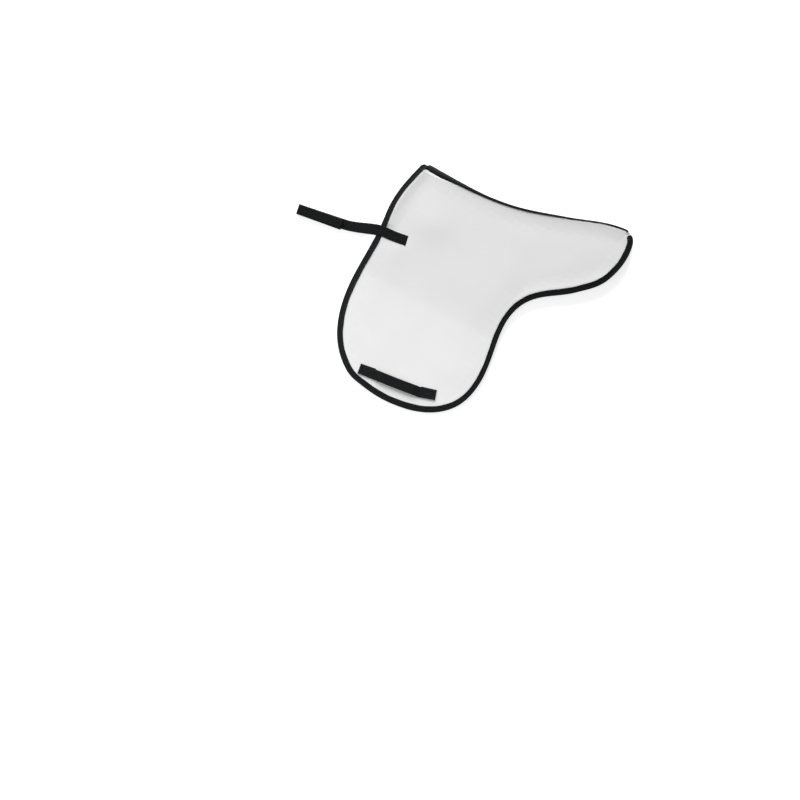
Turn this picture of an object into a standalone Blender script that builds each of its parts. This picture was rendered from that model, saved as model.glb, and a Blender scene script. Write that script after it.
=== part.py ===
"""Dressage saddle pad, folded in half along its spine and lying on its right side.

Each half is a laminate of lining, foam and outer cover with a tape binding round its
edge, a girth keeper near the hem and a front strap that folds back on itself with
hook and loop. A tape along the spine joins the halves, and each half folds open about
its own edge of that tape. Metres, +Z up, +X towards the cantle, +Y towards the spine.
The left half is the upper one.
"""

import math

import bmesh
import bpy
import numpy as np
from mathutils import Matrix, Vector
from mathutils.geometry import interpolate_bezier

OBJECT_NAME = "dressage_saddle_pad"

# Outline of one half, seen from its outer side and measured from the withers
SPINE_LENGTH = 0.508
SPINE_DIP = 0.0315
SPINE_DIP_PLACE = 0.214
SPINE_RISE_PLACE = 0.374
SPINE_RISE_DEPTH = 0.0165
FLAP_DROP = 0.5805
FLAP_WIDTH = 0.3875
FRONT_REACH = 0.0785
NECK_INSET = 0.0325
NECK_DROP = 0.150
BULGE_DROP = 0.385
TOE_INSET = 0.0625
TOE_RISE = 0.0435
SOLE_INSET = 0.1125
SOLE_RISE = 0.0188
HEM_LOW_INSET = 0.2225
HEEL_INSET = 0.025
HEEL_RISE = 0.0705
BACK_EDGE_RISE = 0.2205
HOLLOW_REACH = 0.030
HOLLOW_DROP = 0.251
SEAT_REACH = 0.145
SEAT_DROP = 0.181
CANTLE_SEAT_BACK = 0.0275
CANTLE_SEAT_DROP = 0.126
CANTLE_REACH = 0.0385
CANTLE_DROP = 0.030
CANTLE_TOP_REACH = 0.027
CANTLE_TOP_DROP = 0.0065
HANDLE_SHARE = 0.36
OUTLINE_STEP = 0.055
OUTLINE_TURN = math.radians(13)

# Withers tips. The lower half's tip lies a little behind and above the upper one's
UPPER_TIP_BACK = 0.0012
UPPER_TIP_DROP = 0.0028
LOWER_TIP_BACK = 0.0155
LOWER_TIP_DROP = 0.0005
TIP_SLOPE = 10

# Laminate of one half
HALF_THICKNESS = 0.010
LINING_THICKNESS = 0.0008
COVER_THICKNESS = 0.0010
GAP = 0.0003
EDGE_TUCK = 0.0033
INNER_TUCK = 0.0016
CROWN_WIDTH = 0.014
CROWN_RINGS = 2

# The upper half rises from a soft bend across the flap towards the spine
FOLD_LIFT = 0.010
BEND_TURN = math.radians(10.1)
BEND_DROP = 0.297
BEND_TOP_DROP = 0.030
BEND_STRIPS = 6

# Tape binding round the edge, and tape along the spine. The spine tape starts at a slant,
# farther forward on the upper half
BINDING_THICKNESS = 0.0012
BINDING_LEG = 0.0145
BINDING_ROUND = 0.0010
END_FACE_DEPTH = 0.00001
SPINE_TAPE_THICKNESS = 0.0010
SPINE_TAPE_LOWER_LEG = 0.006
SPINE_TAPE_UPPER_LEG = 0.0025
SPINE_TAPE_TAPER = 0.085
SPINE_TAPE_SLANT = 0.0164
SPINE_TAPE_BULGE = 0.0006

# Webbing
WEBBING_WIDTH = 0.025
WEBBING_THICKNESS = 0.0015
STRAP_DROP = 0.192
STRAP_ON_PANEL = 0.074
STRAP_FREE = 0.203
STRAP_SWAY = 0.010
STRAP_SWAY_LENGTH = 0.083
STRAP_SETTLE_LENGTH = 0.075
TAIL_LENGTH = 0.115
HOOK_LOOP_THICKNESS = 0.0010
HOOK_LOOP_WIDTH = 0.022
HOOK_LOOP_INSET = 0.008
KEEPER_LENGTH = 0.197
KEEPER_TAB = 0.039
KEEPER_FROM_FRONT = 0.090
KEEPER_ABOVE_HEM = 0.0535
KEEPER_TURN = math.radians(-2.4)
KEEPER_SLACK = 0.0055
KEEPER_RISE_LENGTH = 0.020
SEWN_DIMPLE = 0.0010
PRESS_MARGIN = 0.003
PRESS_RAMP = 0.018

CURVE_STEPS = 5

WHITE_COVER = (0.86, 0.87, 0.88)
WHITE_LINING = (0.80, 0.80, 0.80)
FOAM_GREY = (0.62, 0.62, 0.60)
BLACK_TAPE = (0.012, 0.013, 0.014)
BLACK_WEBBING = (0.010, 0.011, 0.012)
BLACK_LOOP = (0.016, 0.016, 0.017)

# Levels measured outwards from the plane where the halves meet
INNER_LEVEL = GAP / 2
OUTER_LEVEL = INNER_LEVEL + HALF_THICKNESS
CONTACT_HEIGHT = OUTER_LEVEL
EDGE_INSET = BINDING_THICKNESS + GAP
LEG_ON_PANEL = BINDING_LEG - EDGE_INSET
BINDING_OUTER = OUTER_LEVEL - EDGE_TUCK + GAP + BINDING_THICKNESS
BINDING_INNER = INNER_LEVEL + INNER_TUCK - GAP - BINDING_THICKNESS
STACK_HEIGHT = 2 * WEBBING_THICKNESS + 2 * HOOK_LOOP_THICKNESS + 3 * GAP
LEFT, RIGHT = 1, -1

# Rings round a panel: its edge, the binding's inner edge, and the crown's rise beyond it
CROWN_SHARES = np.linspace(0.0, 1.0, CROWN_RINGS + 1)
RING_DISTANCES = np.concatenate([[0.0], LEG_ON_PANEL + CROWN_WIDTH * CROWN_SHARES])
TUCK_SHARES = np.concatenate([[1.0], (1.0 - CROWN_SHARES) ** 2])


def clear_scene():
    for old in list(bpy.data.objects):
        bpy.data.objects.remove(old)


def make_collection(name):
    collection = bpy.data.collections.new(name)
    bpy.context.scene.collection.children.link(collection)
    return collection


def make_material(name, colour, roughness):
    material = bpy.data.materials.new(name)
    material.use_nodes = True
    shader = material.node_tree.nodes["Principled BSDF"]
    shader.inputs["Base Color"].default_value = (*colour, 1.0)
    shader.inputs["Roughness"].default_value = roughness
    shader.inputs["Metallic"].default_value = 0.0
    return material


def outline_knots(side):
    """Knots of one half's outline: x, y, heading in degrees. The first is the withers tip,
    the round goes down the front, and the last four lie along the spine."""
    front = -FRONT_REACH
    back = front + FLAP_WIDTH
    hem = -FLAP_DROP
    tip = (UPPER_TIP_BACK, -UPPER_TIP_DROP) if side == LEFT else (LOWER_TIP_BACK, -LOWER_TIP_DROP)
    return [
        (*tip, -116),
        (front + NECK_INSET, -NECK_DROP, -93),
        (front, -BULGE_DROP, -89),
        (front + TOE_INSET, hem + TOE_RISE, -42),
        (front + SOLE_INSET, hem + SOLE_RISE, -20),
        (front + HEM_LOW_INSET, hem, 0),
        (back - HEEL_INSET, hem + HEEL_RISE, 62),
        (back, hem + BACK_EDGE_RISE, 89),
        (back + HOLLOW_REACH, -HOLLOW_DROP, 52),
        (back + SEAT_REACH, -SEAT_DROP, 33),
        (SPINE_LENGTH + CANTLE_REACH - CANTLE_SEAT_BACK, -CANTLE_SEAT_DROP, 59),
        (SPINE_LENGTH + CANTLE_REACH, -CANTLE_DROP, 92),
        (SPINE_LENGTH + CANTLE_TOP_REACH, -CANTLE_TOP_DROP, 138),
        (SPINE_LENGTH, 0.001, 178),
        (SPINE_RISE_PLACE, -SPINE_RISE_DEPTH, 188),
        (SPINE_DIP_PLACE, -SPINE_DIP, 178),
    ]


SPINE_KNOTS = 4


def heading_vector(degrees):
    angle = math.radians(degrees)
    return Vector((math.cos(angle), math.sin(angle), 0.0))


def outline_points(side):
    """The outline as points, in order from the withers tip, and where its spine part starts."""
    knots = outline_knots(side)
    points = []
    spine_start = 0
    for number, (x, y, heading) in enumerate(knots):
        if number == len(knots) - SPINE_KNOTS:
            spine_start = len(points)
        next_x, next_y, next_heading = knots[(number + 1) % len(knots)]
        if number == len(knots) - 1:
            next_heading = 180 - TIP_SLOPE
        start, end = Vector((x, y, 0.0)), Vector((next_x, next_y, 0.0))
        reach = (end - start).length * HANDLE_SHARE
        leave = start + heading_vector(heading) * reach
        arrive = end - heading_vector(next_heading) * reach
        turn = abs(math.remainder(math.radians(next_heading - heading), math.tau))
        steps = math.ceil(max(turn / OUTLINE_TURN, (end - start).length / OUTLINE_STEP))
        points += interpolate_bezier(start, leave, arrive, end, steps + 1)[:-1]
    return points, spine_start


def distance_to_line(spots, line):
    """Shortest distance in plan from each spot to a line of points."""
    nearest = np.full(len(spots), np.inf)
    for start, end in zip(line[:-1], line[1:]):
        along = end - start
        share = np.clip((spots - start) @ along / (along @ along), 0.0, 1.0)
        foot = start + share[:, None] * along
        nearest = np.minimum(nearest, np.linalg.norm(spots - foot, axis=1))
    return nearest


def bend_distance(x, y):
    """Distance up from the bend line, square to it."""
    return x * math.sin(BEND_TURN) + y * math.cos(BEND_TURN) + BEND_DROP


BEND_LENGTH = BEND_DROP - BEND_TOP_DROP
BEND_STATIONS = np.linspace(0.0, BEND_LENGTH, BEND_STRIPS + 1)


def fold_lift(x, y):
    """How far the upper half rises above the contact plane, in flat strips along the bend."""
    share = BEND_STATIONS / BEND_LENGTH
    heights = FOLD_LIFT * share * share * (3.0 - 2.0 * share)
    return np.interp(bend_distance(x, y), BEND_STATIONS, heights)


def side_height(side, level, x, y):
    """World height of a level measured outwards from the contact plane."""
    if side == LEFT:
        return CONTACT_HEIGHT + level + fold_lift(x, y)
    return CONTACT_HEIGHT - level


def cut_at_bends(work):
    """Edges along every bend line, so that each strip between them stays flat."""
    square = Vector((math.sin(BEND_TURN), math.cos(BEND_TURN), 0.0))
    for station in BEND_STATIONS:
        place = square * (station - BEND_DROP)
        geometry = work.verts[:] + work.edges[:] + work.faces[:]
        bmesh.ops.bisect_plane(work, geom=geometry, dist=1e-6, plane_co=place, plane_no=square)


def drape(mesh):
    """Lift a flat upper piece onto the bent upper half."""
    work = bmesh.new()
    work.from_mesh(mesh)
    cut_at_bends(work)
    for vert in work.verts:
        vert.co.z += float(fold_lift(vert.co.x, vert.co.y))
    work.to_mesh(mesh)
    work.free()


class Footprint:
    """A sewn-down strap's place on a panel, where it presses the padding in."""

    def __init__(self, centre, heading, length, width, depth):
        self.centre = Vector((*centre, 0.0))
        self.along = Vector((math.cos(heading), math.sin(heading), 0.0))
        self.across = Vector((-math.sin(heading), math.cos(heading), 0.0))
        self.half_length = length / 2 + PRESS_MARGIN
        self.half_width = width / 2 + PRESS_MARGIN
        self.depth = depth

    def press(self, spots):
        offsets = spots - np.array(self.centre[:2])
        along = np.abs(offsets @ np.array(self.along[:2])) - self.half_length
        across = np.abs(offsets @ np.array(self.across[:2])) - self.half_width
        outside = np.maximum(np.maximum(along, across), 0.0)
        return self.depth * np.clip(1.0 - outside / PRESS_RAMP, 0.0, 1.0)

    def overlaps(self, face, margin):
        along = [(v.co - self.centre).dot(self.along) for v in face.verts]
        across = [(v.co - self.centre).dot(self.across) for v in face.verts]
        reach_along = self.half_length + margin - 1e-5
        reach_across = self.half_width + margin - 1e-5
        clear = min(along) > reach_along or max(along) < -reach_along
        return not (clear or min(across) > reach_across or max(across) < -reach_across)

    def cut(self, work):
        """Edges round the foot of the ramp and round its top, only near the strap."""
        for margin in (PRESS_RAMP, 0.0):
            for direction, half in ((self.along, self.half_length), (self.across, self.half_width)):
                for sign in (-1.0, 1.0):
                    faces = [f for f in work.faces if self.overlaps(f, PRESS_RAMP)]
                    edges = {e for f in faces for e in f.edges}
                    verts = {v for f in faces for v in f.verts}
                    place = self.centre + direction * sign * (half + margin)
                    geometry = list(verts) + list(edges) + faces
                    bmesh.ops.bisect_plane(
                        work, geom=geometry, dist=1e-6, plane_co=place, plane_no=direction
                    )


def front_edge_at(side, drop):
    """x of the front edge at a depth below the withers tip."""
    points, spine_start = outline_points(side)
    for start, end in zip(points[:spine_start], points[1:spine_start + 1]):
        if start.y >= -drop > end.y:
            return start.x + (end.x - start.x) * (start.y + drop) / (start.y - end.y)
    raise ValueError("the front strap lies below the flap")


def keeper_centre():
    x = -FRONT_REACH + KEEPER_FROM_FRONT + KEEPER_LENGTH * math.cos(KEEPER_TURN) / 2
    return (x, -FLAP_DROP + KEEPER_ABOVE_HEM)


def footprints(side):
    keeper_depth = SEWN_DIMPLE if side == LEFT else 2 * WEBBING_THICKNESS + GAP
    anchor_depth = SEWN_DIMPLE if side == LEFT else WEBBING_THICKNESS + GAP
    edge = front_edge_at(side, STRAP_DROP)
    patch = STRAP_ON_PANEL - BINDING_LEG - CROWN_WIDTH / 2
    patch_centre = (edge + STRAP_ON_PANEL - patch / 2, -STRAP_DROP)
    return [
        Footprint(keeper_centre(), KEEPER_TURN, KEEPER_LENGTH, WEBBING_WIDTH, keeper_depth),
        Footprint(patch_centre, 0.0, patch, WEBBING_WIDTH, anchor_depth),
    ]


def inset_ring(work, face, width):
    """Draw a flat pattern's middle face in by a width. Returns the faces of the new ring."""
    ring = bmesh.ops.inset_region(
        work, faces=[face], thickness=width, use_even_offset=True, use_boundary=True
    )
    work.normal_update()
    return ring["faces"]


class Panel:
    """The flat cutting pattern of one half, with the heights of its inner and outer faces."""

    def __init__(self, side):
        self.side = side
        points, spine_start = outline_points(side)
        self.outline = np.array([p[:2] for p in points])
        self.bound_line = self.outline[:spine_start + 1]
        self.spine_line = np.vstack([self.outline[spine_start:], self.outline[:1]])
        self.closed_line = np.vstack([self.outline, self.outline[:1]])
        self.work = bmesh.new()
        corners = [self.work.verts.new(p) for p in points]
        centre = self.work.faces.new(corners)
        centre.normal_update()
        rim = inset_ring(self.work, centre, EDGE_INSET)
        bmesh.ops.delete(self.work, geom=rim, context="FACES")
        for width in np.diff(RING_DISTANCES):
            inset_ring(self.work, centre, width)
        if side == LEFT:
            cut_at_bends(self.work)
        self.prints = footprints(side)
        for footprint in self.prints:
            footprint.cut(self.work)
        bmesh.ops.triangulate(self.work, faces=self.work.faces[:])
        self.work.verts.ensure_lookup_table()
        self.work.verts.index_update()
        self.spots = np.array([v.co[:2] for v in self.work.verts])

    def levels(self, spots):
        """Outward levels of the inner face and the outer face at spots in plan."""
        inward = distance_to_line(spots, self.closed_line) - EDGE_INSET
        share = np.interp(inward, RING_DISTANCES, TUCK_SHARES)
        drop = EDGE_TUCK * share
        for footprint in self.prints:
            drop = np.maximum(drop, footprint.press(spots))
        return INNER_LEVEL + INNER_TUCK * share, OUTER_LEVEL - drop

    def layer(self, name, low, high):
        """A closed solid over the whole pattern between two levels given for each corner."""
        work = self.work.copy()
        number = work.verts.layers.int.new("corner")
        for index, vert in enumerate(work.verts):
            vert[number] = index
        raised = bmesh.ops.extrude_face_region(work, geom=work.faces[:])["geom"]
        upper = {v for v in raised if isinstance(v, bmesh.types.BMVert)}
        for vert in work.verts:
            level = high[vert[number]] if vert in upper else low[vert[number]]
            vert.co.z = side_height(self.side, float(level), vert.co.x, vert.co.y)
        face_outwards(work)
        mesh = bpy.data.meshes.new(name)
        work.to_mesh(mesh)
        work.free()
        return mesh


def face_outwards(work):
    """Turn a closed body's faces outwards."""
    bmesh.ops.recalc_face_normals(work, faces=work.faces[:])
    if work.calc_volume(signed=True) < 0.0:
        bmesh.ops.reverse_faces(work, faces=work.faces[:])


def mesh_from_curve(curve, matrix):
    """The evaluated curve as a welded mesh, in world space."""
    holder = bpy.data.objects.new("curve_guide", curve)
    bpy.context.scene.collection.objects.link(holder)
    bpy.context.view_layer.update()
    evaluated = holder.evaluated_get(bpy.context.evaluated_depsgraph_get())
    mesh = bpy.data.meshes.new_from_object(evaluated)
    bpy.data.objects.remove(holder)
    work = bmesh.new()
    work.from_mesh(mesh)
    bmesh.ops.remove_doubles(work, verts=work.verts[:], dist=1e-6)
    work.transform(matrix)
    face_outwards(work)
    work.to_mesh(mesh)
    work.free()
    mesh.materials.clear()
    return mesh


def poly_curve(name, points, closed):
    curve = bpy.data.curves.new(name, "CURVE")
    curve.dimensions = "2D"
    spline = curve.splines.new("POLY")
    spline.points.add(len(points) - 1)
    for point, (x, y) in zip(spline.points, points):
        point.co = (x, y, 0.0, 1.0)
    spline.use_cyclic_u = closed
    return curve


def extruded_outline(name, points, width, matrix):
    """A side-view outline in x and z, extruded evenly about y = 0, then placed."""
    curve = poly_curve(name, points, closed=True)
    curve.fill_mode = "BOTH"
    curve.extrude = width / 2
    upright = Matrix.Rotation(math.pi / 2, 4, "X")
    return mesh_from_curve(curve, matrix @ upright)


def ribbon_outline(path, thickness):
    """Both faces of a band whose lower face, or inner face, follows a side-view path."""
    path = np.array(path)
    runs = np.diff(path, axis=0)
    normals = np.stack([-runs[:, 1], runs[:, 0]], axis=1)
    normals /= np.linalg.norm(normals, axis=1)[:, None]
    joints = np.vstack([normals[:1], normals[:-1] + normals[1:], normals[-1:]])
    joints /= np.linalg.norm(joints, axis=1)[:, None]
    widen = np.ones(len(path))
    widen[1:-1] = 1.0 / np.sum(joints[1:-1] * normals[1:], axis=1)
    upper = path + joints * (thickness * widen)[:, None]
    return np.vstack([path, upper[::-1]])


def ease(share):
    share = min(max(share, 0.0), 1.0)
    return share * share * (3.0 - 2.0 * share)


def binding_profile(side):
    """Folded tape in section: how far in from the outline, and the level outwards."""
    wall, corner = BINDING_THICKNESS, BINDING_ROUND
    outer, inner = BINDING_OUTER, BINDING_INNER
    section = [
        (BINDING_LEG, outer),
        (corner, outer),
        (corner * 0.3, outer - corner * 0.3),
        (0.0, outer - corner),
        (0.0, inner + corner),
        (corner * 0.3, inner + corner * 0.3),
        (corner, inner),
        (BINDING_LEG, inner),
        (BINDING_LEG, inner + wall),
        (wall, inner + wall),
        (wall, outer - wall),
        (BINDING_LEG, outer - wall),
    ]
    return [(-inset, CONTACT_HEIGHT + side * level) for inset, level in section]


def mitre_first_end(mesh, panel):
    """Draw the binding's withers end out to the spine line, where the spine tape begins."""
    tip = panel.bound_line[0]
    run = panel.bound_line[1] - tip
    run /= np.linalg.norm(run)
    inward = np.array([-run[1], run[0]])
    spine = panel.spine_line[-2] - tip
    stretch = (spine @ run) / (spine @ inward)
    for vert in mesh.vertices:
        offset = np.array(vert.co[:2]) - tip
        if abs(offset @ run) < END_FACE_DEPTH:
            drawn = run * stretch * (offset @ inward)
            vert.co.x += drawn[0]
            vert.co.y += drawn[1]


def binding_mesh(panel):
    profile = poly_curve("binding_section", binding_profile(panel.side), closed=True)
    guide = bpy.data.objects.new("binding_section", profile)
    guides.objects.link(guide)
    guide.hide_render = True
    guide.display_type = "WIRE"
    path = poly_curve("binding_path", panel.bound_line, closed=False)
    path.bevel_mode = "OBJECT"
    path.bevel_object = guide
    path.use_fill_caps = True
    mesh = mesh_from_curve(path, Matrix.Identity(4))
    if panel.side == LEFT:
        mitre_first_end(mesh, panel)
        drape(mesh)
    return mesh


def spine_line_at(panel, x):
    """y of one half's spine outline at a place along it."""
    order = np.argsort(panel.spine_line[:, 0])
    return float(np.interp(x, panel.spine_line[order, 0], panel.spine_line[order, 1]))


def tape_section(upper, lower, x):
    """Inner face of the spine tape at one place, from its upper leg round to its lower leg."""
    share = (x - TAPE_START) / SPINE_TAPE_TAPER
    upper_leg = LEG_ON_PANEL + (SPINE_TAPE_UPPER_LEG - LEG_ON_PANEL) * ease(share)
    upper_x = x - SPINE_TAPE_SLANT * max(0.0, 1.0 - share)
    section = []
    for panel, leg, x in ((upper, upper_leg, upper_x), (lower, SPINE_TAPE_LOWER_LEG, x)):
        edge = spine_line_at(panel, x)
        legs = [
            (edge - EDGE_INSET - leg, edge - EDGE_INSET - leg),
            (edge - EDGE_INSET + GAP, edge - EDGE_INSET),
        ]
        rows = []
        for y, over in legs:
            level = panel.levels(np.array([[x, over]]))[1][0] + GAP
            rows.append((x, y, side_height(panel.side, float(level), x, over)))
        section += rows if panel is upper else rows[::-1]
    top, bottom = section[1], section[2]
    middle_x = (upper_x + bottom[0]) / 2
    crossed = ((upper, upper_x), (upper, middle_x), (lower, middle_x))
    edge = max(spine_line_at(panel, place) for panel, place in crossed)
    reach = edge - EDGE_INSET + GAP + SPINE_TAPE_BULGE
    middle = (middle_x, reach, (top[2] + bottom[2]) / 2)
    return section[:2] + [middle] + section[2:]


TAPE_START = LOWER_TIP_BACK + BINDING_LEG + 0.003
TAPE_END = SPINE_LENGTH + CANTLE_TOP_REACH - BINDING_LEG


def tape_places(upper, lower):
    """Places for the tape's sections: its taper, every corner of both spine edges, its end."""
    corners = np.concatenate([upper.spine_line[:, 0], lower.spine_line[:, 0]])
    inside = corners[(corners > TAPE_START) & (corners < TAPE_END)]
    taper = np.linspace(TAPE_START, TAPE_START + SPINE_TAPE_TAPER, CURVE_STEPS)
    return np.unique(np.round(np.concatenate([taper, inside, [TAPE_END]]), 4))


def spine_tape_mesh(upper, lower):
    """A strip of cross-sections along the spine, later thickened outwards."""
    work = bmesh.new()
    rows = []
    for place in tape_places(upper, lower):
        rows.append([work.verts.new(spot) for spot in tape_section(upper, lower, place)])
    for row, following in zip(rows[:-1], rows[1:]):
        for low in range(len(row) - 1):
            work.faces.new((row[low], following[low], following[low + 1], row[low + 1]))
    mesh = bpy.data.meshes.new("spine_tape")
    work.to_mesh(mesh)
    work.free()
    return mesh


def keeper_outline(slack):
    """Side view of the girth keeper, lying on y = 0: turned-under tabs and a slack middle."""
    half = KEEPER_LENGTH / 2
    tab = half - KEEPER_TAB
    thick = WEBBING_THICKNESS
    ends = [(-math.cos(a), math.sin(a)) for a in np.linspace(-math.pi / 2, math.pi / 2, CURVE_STEPS)]
    left = [(-half + thick * (1 + c), thick * (1 + s)) for c, s in ends]
    lift = [(-tab + KEEPER_RISE_LENGTH * t, slack * ease(t)) for t in np.linspace(0.0, 1.0, CURVE_STEPS)]
    over = left + [(x, 2 * thick + y) for x, y in lift]
    under = [(-tab, 0.0)] + [(x, thick + y) for x, y in lift]
    top = over + [(-x, y) for x, y in reversed(over)]
    return top + [(-x, y) for x, y in under] + list(reversed(under))


def keeper_mesh(side):
    depth = footprints(side)[0].depth
    level = OUTER_LEVEL - depth + GAP
    slack = KEEPER_SLACK if side == LEFT else 0.0
    x, y = keeper_centre()
    place = Matrix.Translation((x, y, CONTACT_HEIGHT + side * level))
    turn = Matrix.Rotation(KEEPER_TURN, 4, "Z")
    flip = Matrix.Diagonal((1.0, 1.0, side, 1.0))
    return extruded_outline("girth_keeper", keeper_outline(slack), WEBBING_WIDTH, place @ turn @ flip)


def sway(mesh, edge):
    """Shift a front strap sideways along its length, as it lies."""
    for vert in mesh.vertices:
        vert.co.y -= STRAP_SWAY * ease((edge - vert.co.x) / STRAP_SWAY_LENGTH)


def strap_place(side):
    return Matrix.Translation((0.0, -STRAP_DROP, 0.0)) @ Matrix.Diagonal((1.0, 1.0, side, 1.0))


def strap_levels(side):
    """Heights, counted outwards, where the free strap leaves the binding and where it lies."""
    leaves = side * (CONTACT_HEIGHT + side * (BINDING_OUTER + GAP))
    if side == LEFT:
        return leaves, STACK_HEIGHT + GAP
    return leaves, -STACK_HEIGHT


def anchor_mesh(side, edge):
    """The strap's sewn end: from its patch on the panel over the binding to the front edge."""
    depth = footprints(side)[1].depth
    patch = side * (CONTACT_HEIGHT + side * (OUTER_LEVEL - depth + GAP))
    crossing = strap_levels(side)[0]
    path = [
        (edge, crossing),
        (edge + BINDING_LEG + GAP, crossing),
        (edge + BINDING_LEG + CROWN_WIDTH / 2, patch),
        (edge + STRAP_ON_PANEL, patch),
    ]
    outline = ribbon_outline(path, WEBBING_THICKNESS)
    mesh = extruded_outline("strap_anchor", outline, WEBBING_WIDTH, strap_place(side))
    if side == LEFT:
        drape(mesh)
    return mesh


def free_strap_mesh(side, edge, tip):
    """The strap from the front edge down to where it lies, up to its fold at the tip."""
    leaves, lies = strap_levels(side)
    start = edge - GAP
    path = []
    for share in np.linspace(0.0, 1.0, 2 * CURVE_STEPS):
        path.append((start - STRAP_SETTLE_LENGTH * share, leaves + (lies - leaves) * ease(share)))
    path.append((tip + GAP / 2, lies))
    outline = ribbon_outline(path[::-1], WEBBING_THICKNESS)
    mesh = extruded_outline("front_strap", outline, WEBBING_WIDTH, strap_place(side))
    if side == LEFT:
        for vert in mesh.vertices:
            fade = 1.0 - ease((start - vert.co.x) / STRAP_SETTLE_LENGTH)
            vert.co.z += float(fold_lift(edge, vert.co.y)) * fade
    sway(mesh, edge)
    return mesh


def fold_mesh(side, edge, tip):
    """The webbing's turn at the tip, from the strap's layer to the tail's."""
    lies = strap_levels(side)[1]
    radius = STACK_HEIGHT / 2
    angles = np.linspace(-math.pi / 2, -3 * math.pi / 2, 2 * CURVE_STEPS - 1)
    centre = lies + radius
    inner = radius - WEBBING_THICKNESS
    start = tip - GAP / 2
    path = [(start + inner * math.cos(a), centre + inner * math.sin(a)) for a in angles]
    outline = ribbon_outline(path, WEBBING_THICKNESS)
    mesh = extruded_outline("strap_fold", outline, WEBBING_WIDTH, strap_place(side))
    sway(mesh, edge)
    return mesh


def tail_layer_mesh(side, edge, start, end, low, thickness, width):
    """A straight layer of the doubled-back end, counted up from where the strap lies."""
    level = strap_levels(side)[1] + low
    outline = ribbon_outline([(start, level), (end, level)], thickness)
    mesh = extruded_outline("tail_layer", outline, width, strap_place(side))
    sway(mesh, edge)
    return mesh


def make_pivot(name, place, parent):
    pivot = bpy.data.objects.new(name, None)
    parts.objects.link(pivot)
    pivot.parent = parent
    offset = parent["place"] if parent else (0.0, 0.0, 0.0)
    pivot["place"] = place
    pivot.location = Vector(place) - Vector(offset)
    return pivot


def add_piece(name, mesh, material, pivot):
    """A named piece whose origin lies on its body's pivot."""
    mesh.name = name
    mesh.transform(Matrix.Translation(-Vector(pivot["place"])))
    mesh.materials.append(material)
    piece = bpy.data.objects.new(name, mesh)
    parts.objects.link(piece)
    piece.parent = pivot
    return piece


def build_half(panel, name, pivot, looks):
    """Lining, foam, cover, binding, girth keeper and strap end of one half."""
    inner, outer = panel.levels(panel.spots)
    lining_top = inner + LINING_THICKNESS
    cover_bottom = outer - COVER_THICKNESS
    layers = (
        ("lining", inner, lining_top, looks["lining"]),
        ("foam_core", lining_top + GAP, cover_bottom - GAP, looks["foam"]),
        ("outer_cover", cover_bottom, outer, looks["cover"]),
    )
    for layer_name, low, high, material in layers:
        mesh = panel.layer(layer_name, low, high)
        add_piece(f"{name}_{layer_name}", mesh, material, pivot)
    edge = front_edge_at(panel.side, STRAP_DROP)
    add_piece(f"{name}_binding", binding_mesh(panel), looks["tape"], pivot)
    add_piece(f"{name}_girth_keeper", keeper_mesh(panel.side), looks["webbing"], pivot)
    add_piece(f"{name}_strap_anchor", anchor_mesh(panel.side, edge), looks["webbing"], pivot)


def build_strap(side, name, half_pivot, looks):
    """The free front strap with its loop strip, and its doubled-back tail with its hook strip."""
    edge = front_edge_at(side, STRAP_DROP)
    tip = edge - STRAP_FREE + STACK_HEIGHT / 2
    leaves, lies = strap_levels(side)
    hinge_level = leaves + WEBBING_THICKNESS
    if side == LEFT:
        hinge_level += float(fold_lift(edge, -STRAP_DROP + WEBBING_WIDTH / 2))
    flex_place = (edge - GAP / 2, -STRAP_DROP, side * hinge_level)
    tail_place = (tip, -STRAP_DROP - STRAP_SWAY, side * (lies + STACK_HEIGHT / 2))
    strap_pivot = make_pivot(f"{name}_strap_flex_axis", flex_place, half_pivot)
    tail_pivot = make_pivot(f"{name}_tail_axis", tail_place, strap_pivot)
    strap = free_strap_mesh(side, edge, tip)
    add_piece(f"{name}_front_strap", strap, looks["webbing"], strap_pivot)
    add_piece(f"{name}_strap_fold", fold_mesh(side, edge, tip), looks["webbing"], strap_pivot)
    inset_start = tip + HOOK_LOOP_INSET
    inset_end = edge - STRAP_FREE + TAIL_LENGTH - HOOK_LOOP_INSET / 2
    loop_low = WEBBING_THICKNESS + GAP
    hook_low = loop_low + HOOK_LOOP_THICKNESS + GAP
    tail_low = hook_low + HOOK_LOOP_THICKNESS + GAP
    tail_end = edge - STRAP_FREE + TAIL_LENGTH
    thin, narrow = HOOK_LOOP_THICKNESS, HOOK_LOOP_WIDTH
    loop = tail_layer_mesh(side, edge, inset_start, inset_end, loop_low, thin, narrow)
    hook = tail_layer_mesh(side, edge, inset_start, inset_end, hook_low, thin, narrow)
    tail = tail_layer_mesh(
        side, edge, tip + GAP / 2, tail_end, tail_low, WEBBING_THICKNESS, WEBBING_WIDTH
    )
    add_piece(f"{name}_loop_strip", loop, looks["loop"], strap_pivot)
    add_piece(f"{name}_hook_strip", hook, looks["loop"], tail_pivot)
    add_piece(f"{name}_strap_tail", tail, looks["webbing"], tail_pivot)


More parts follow.
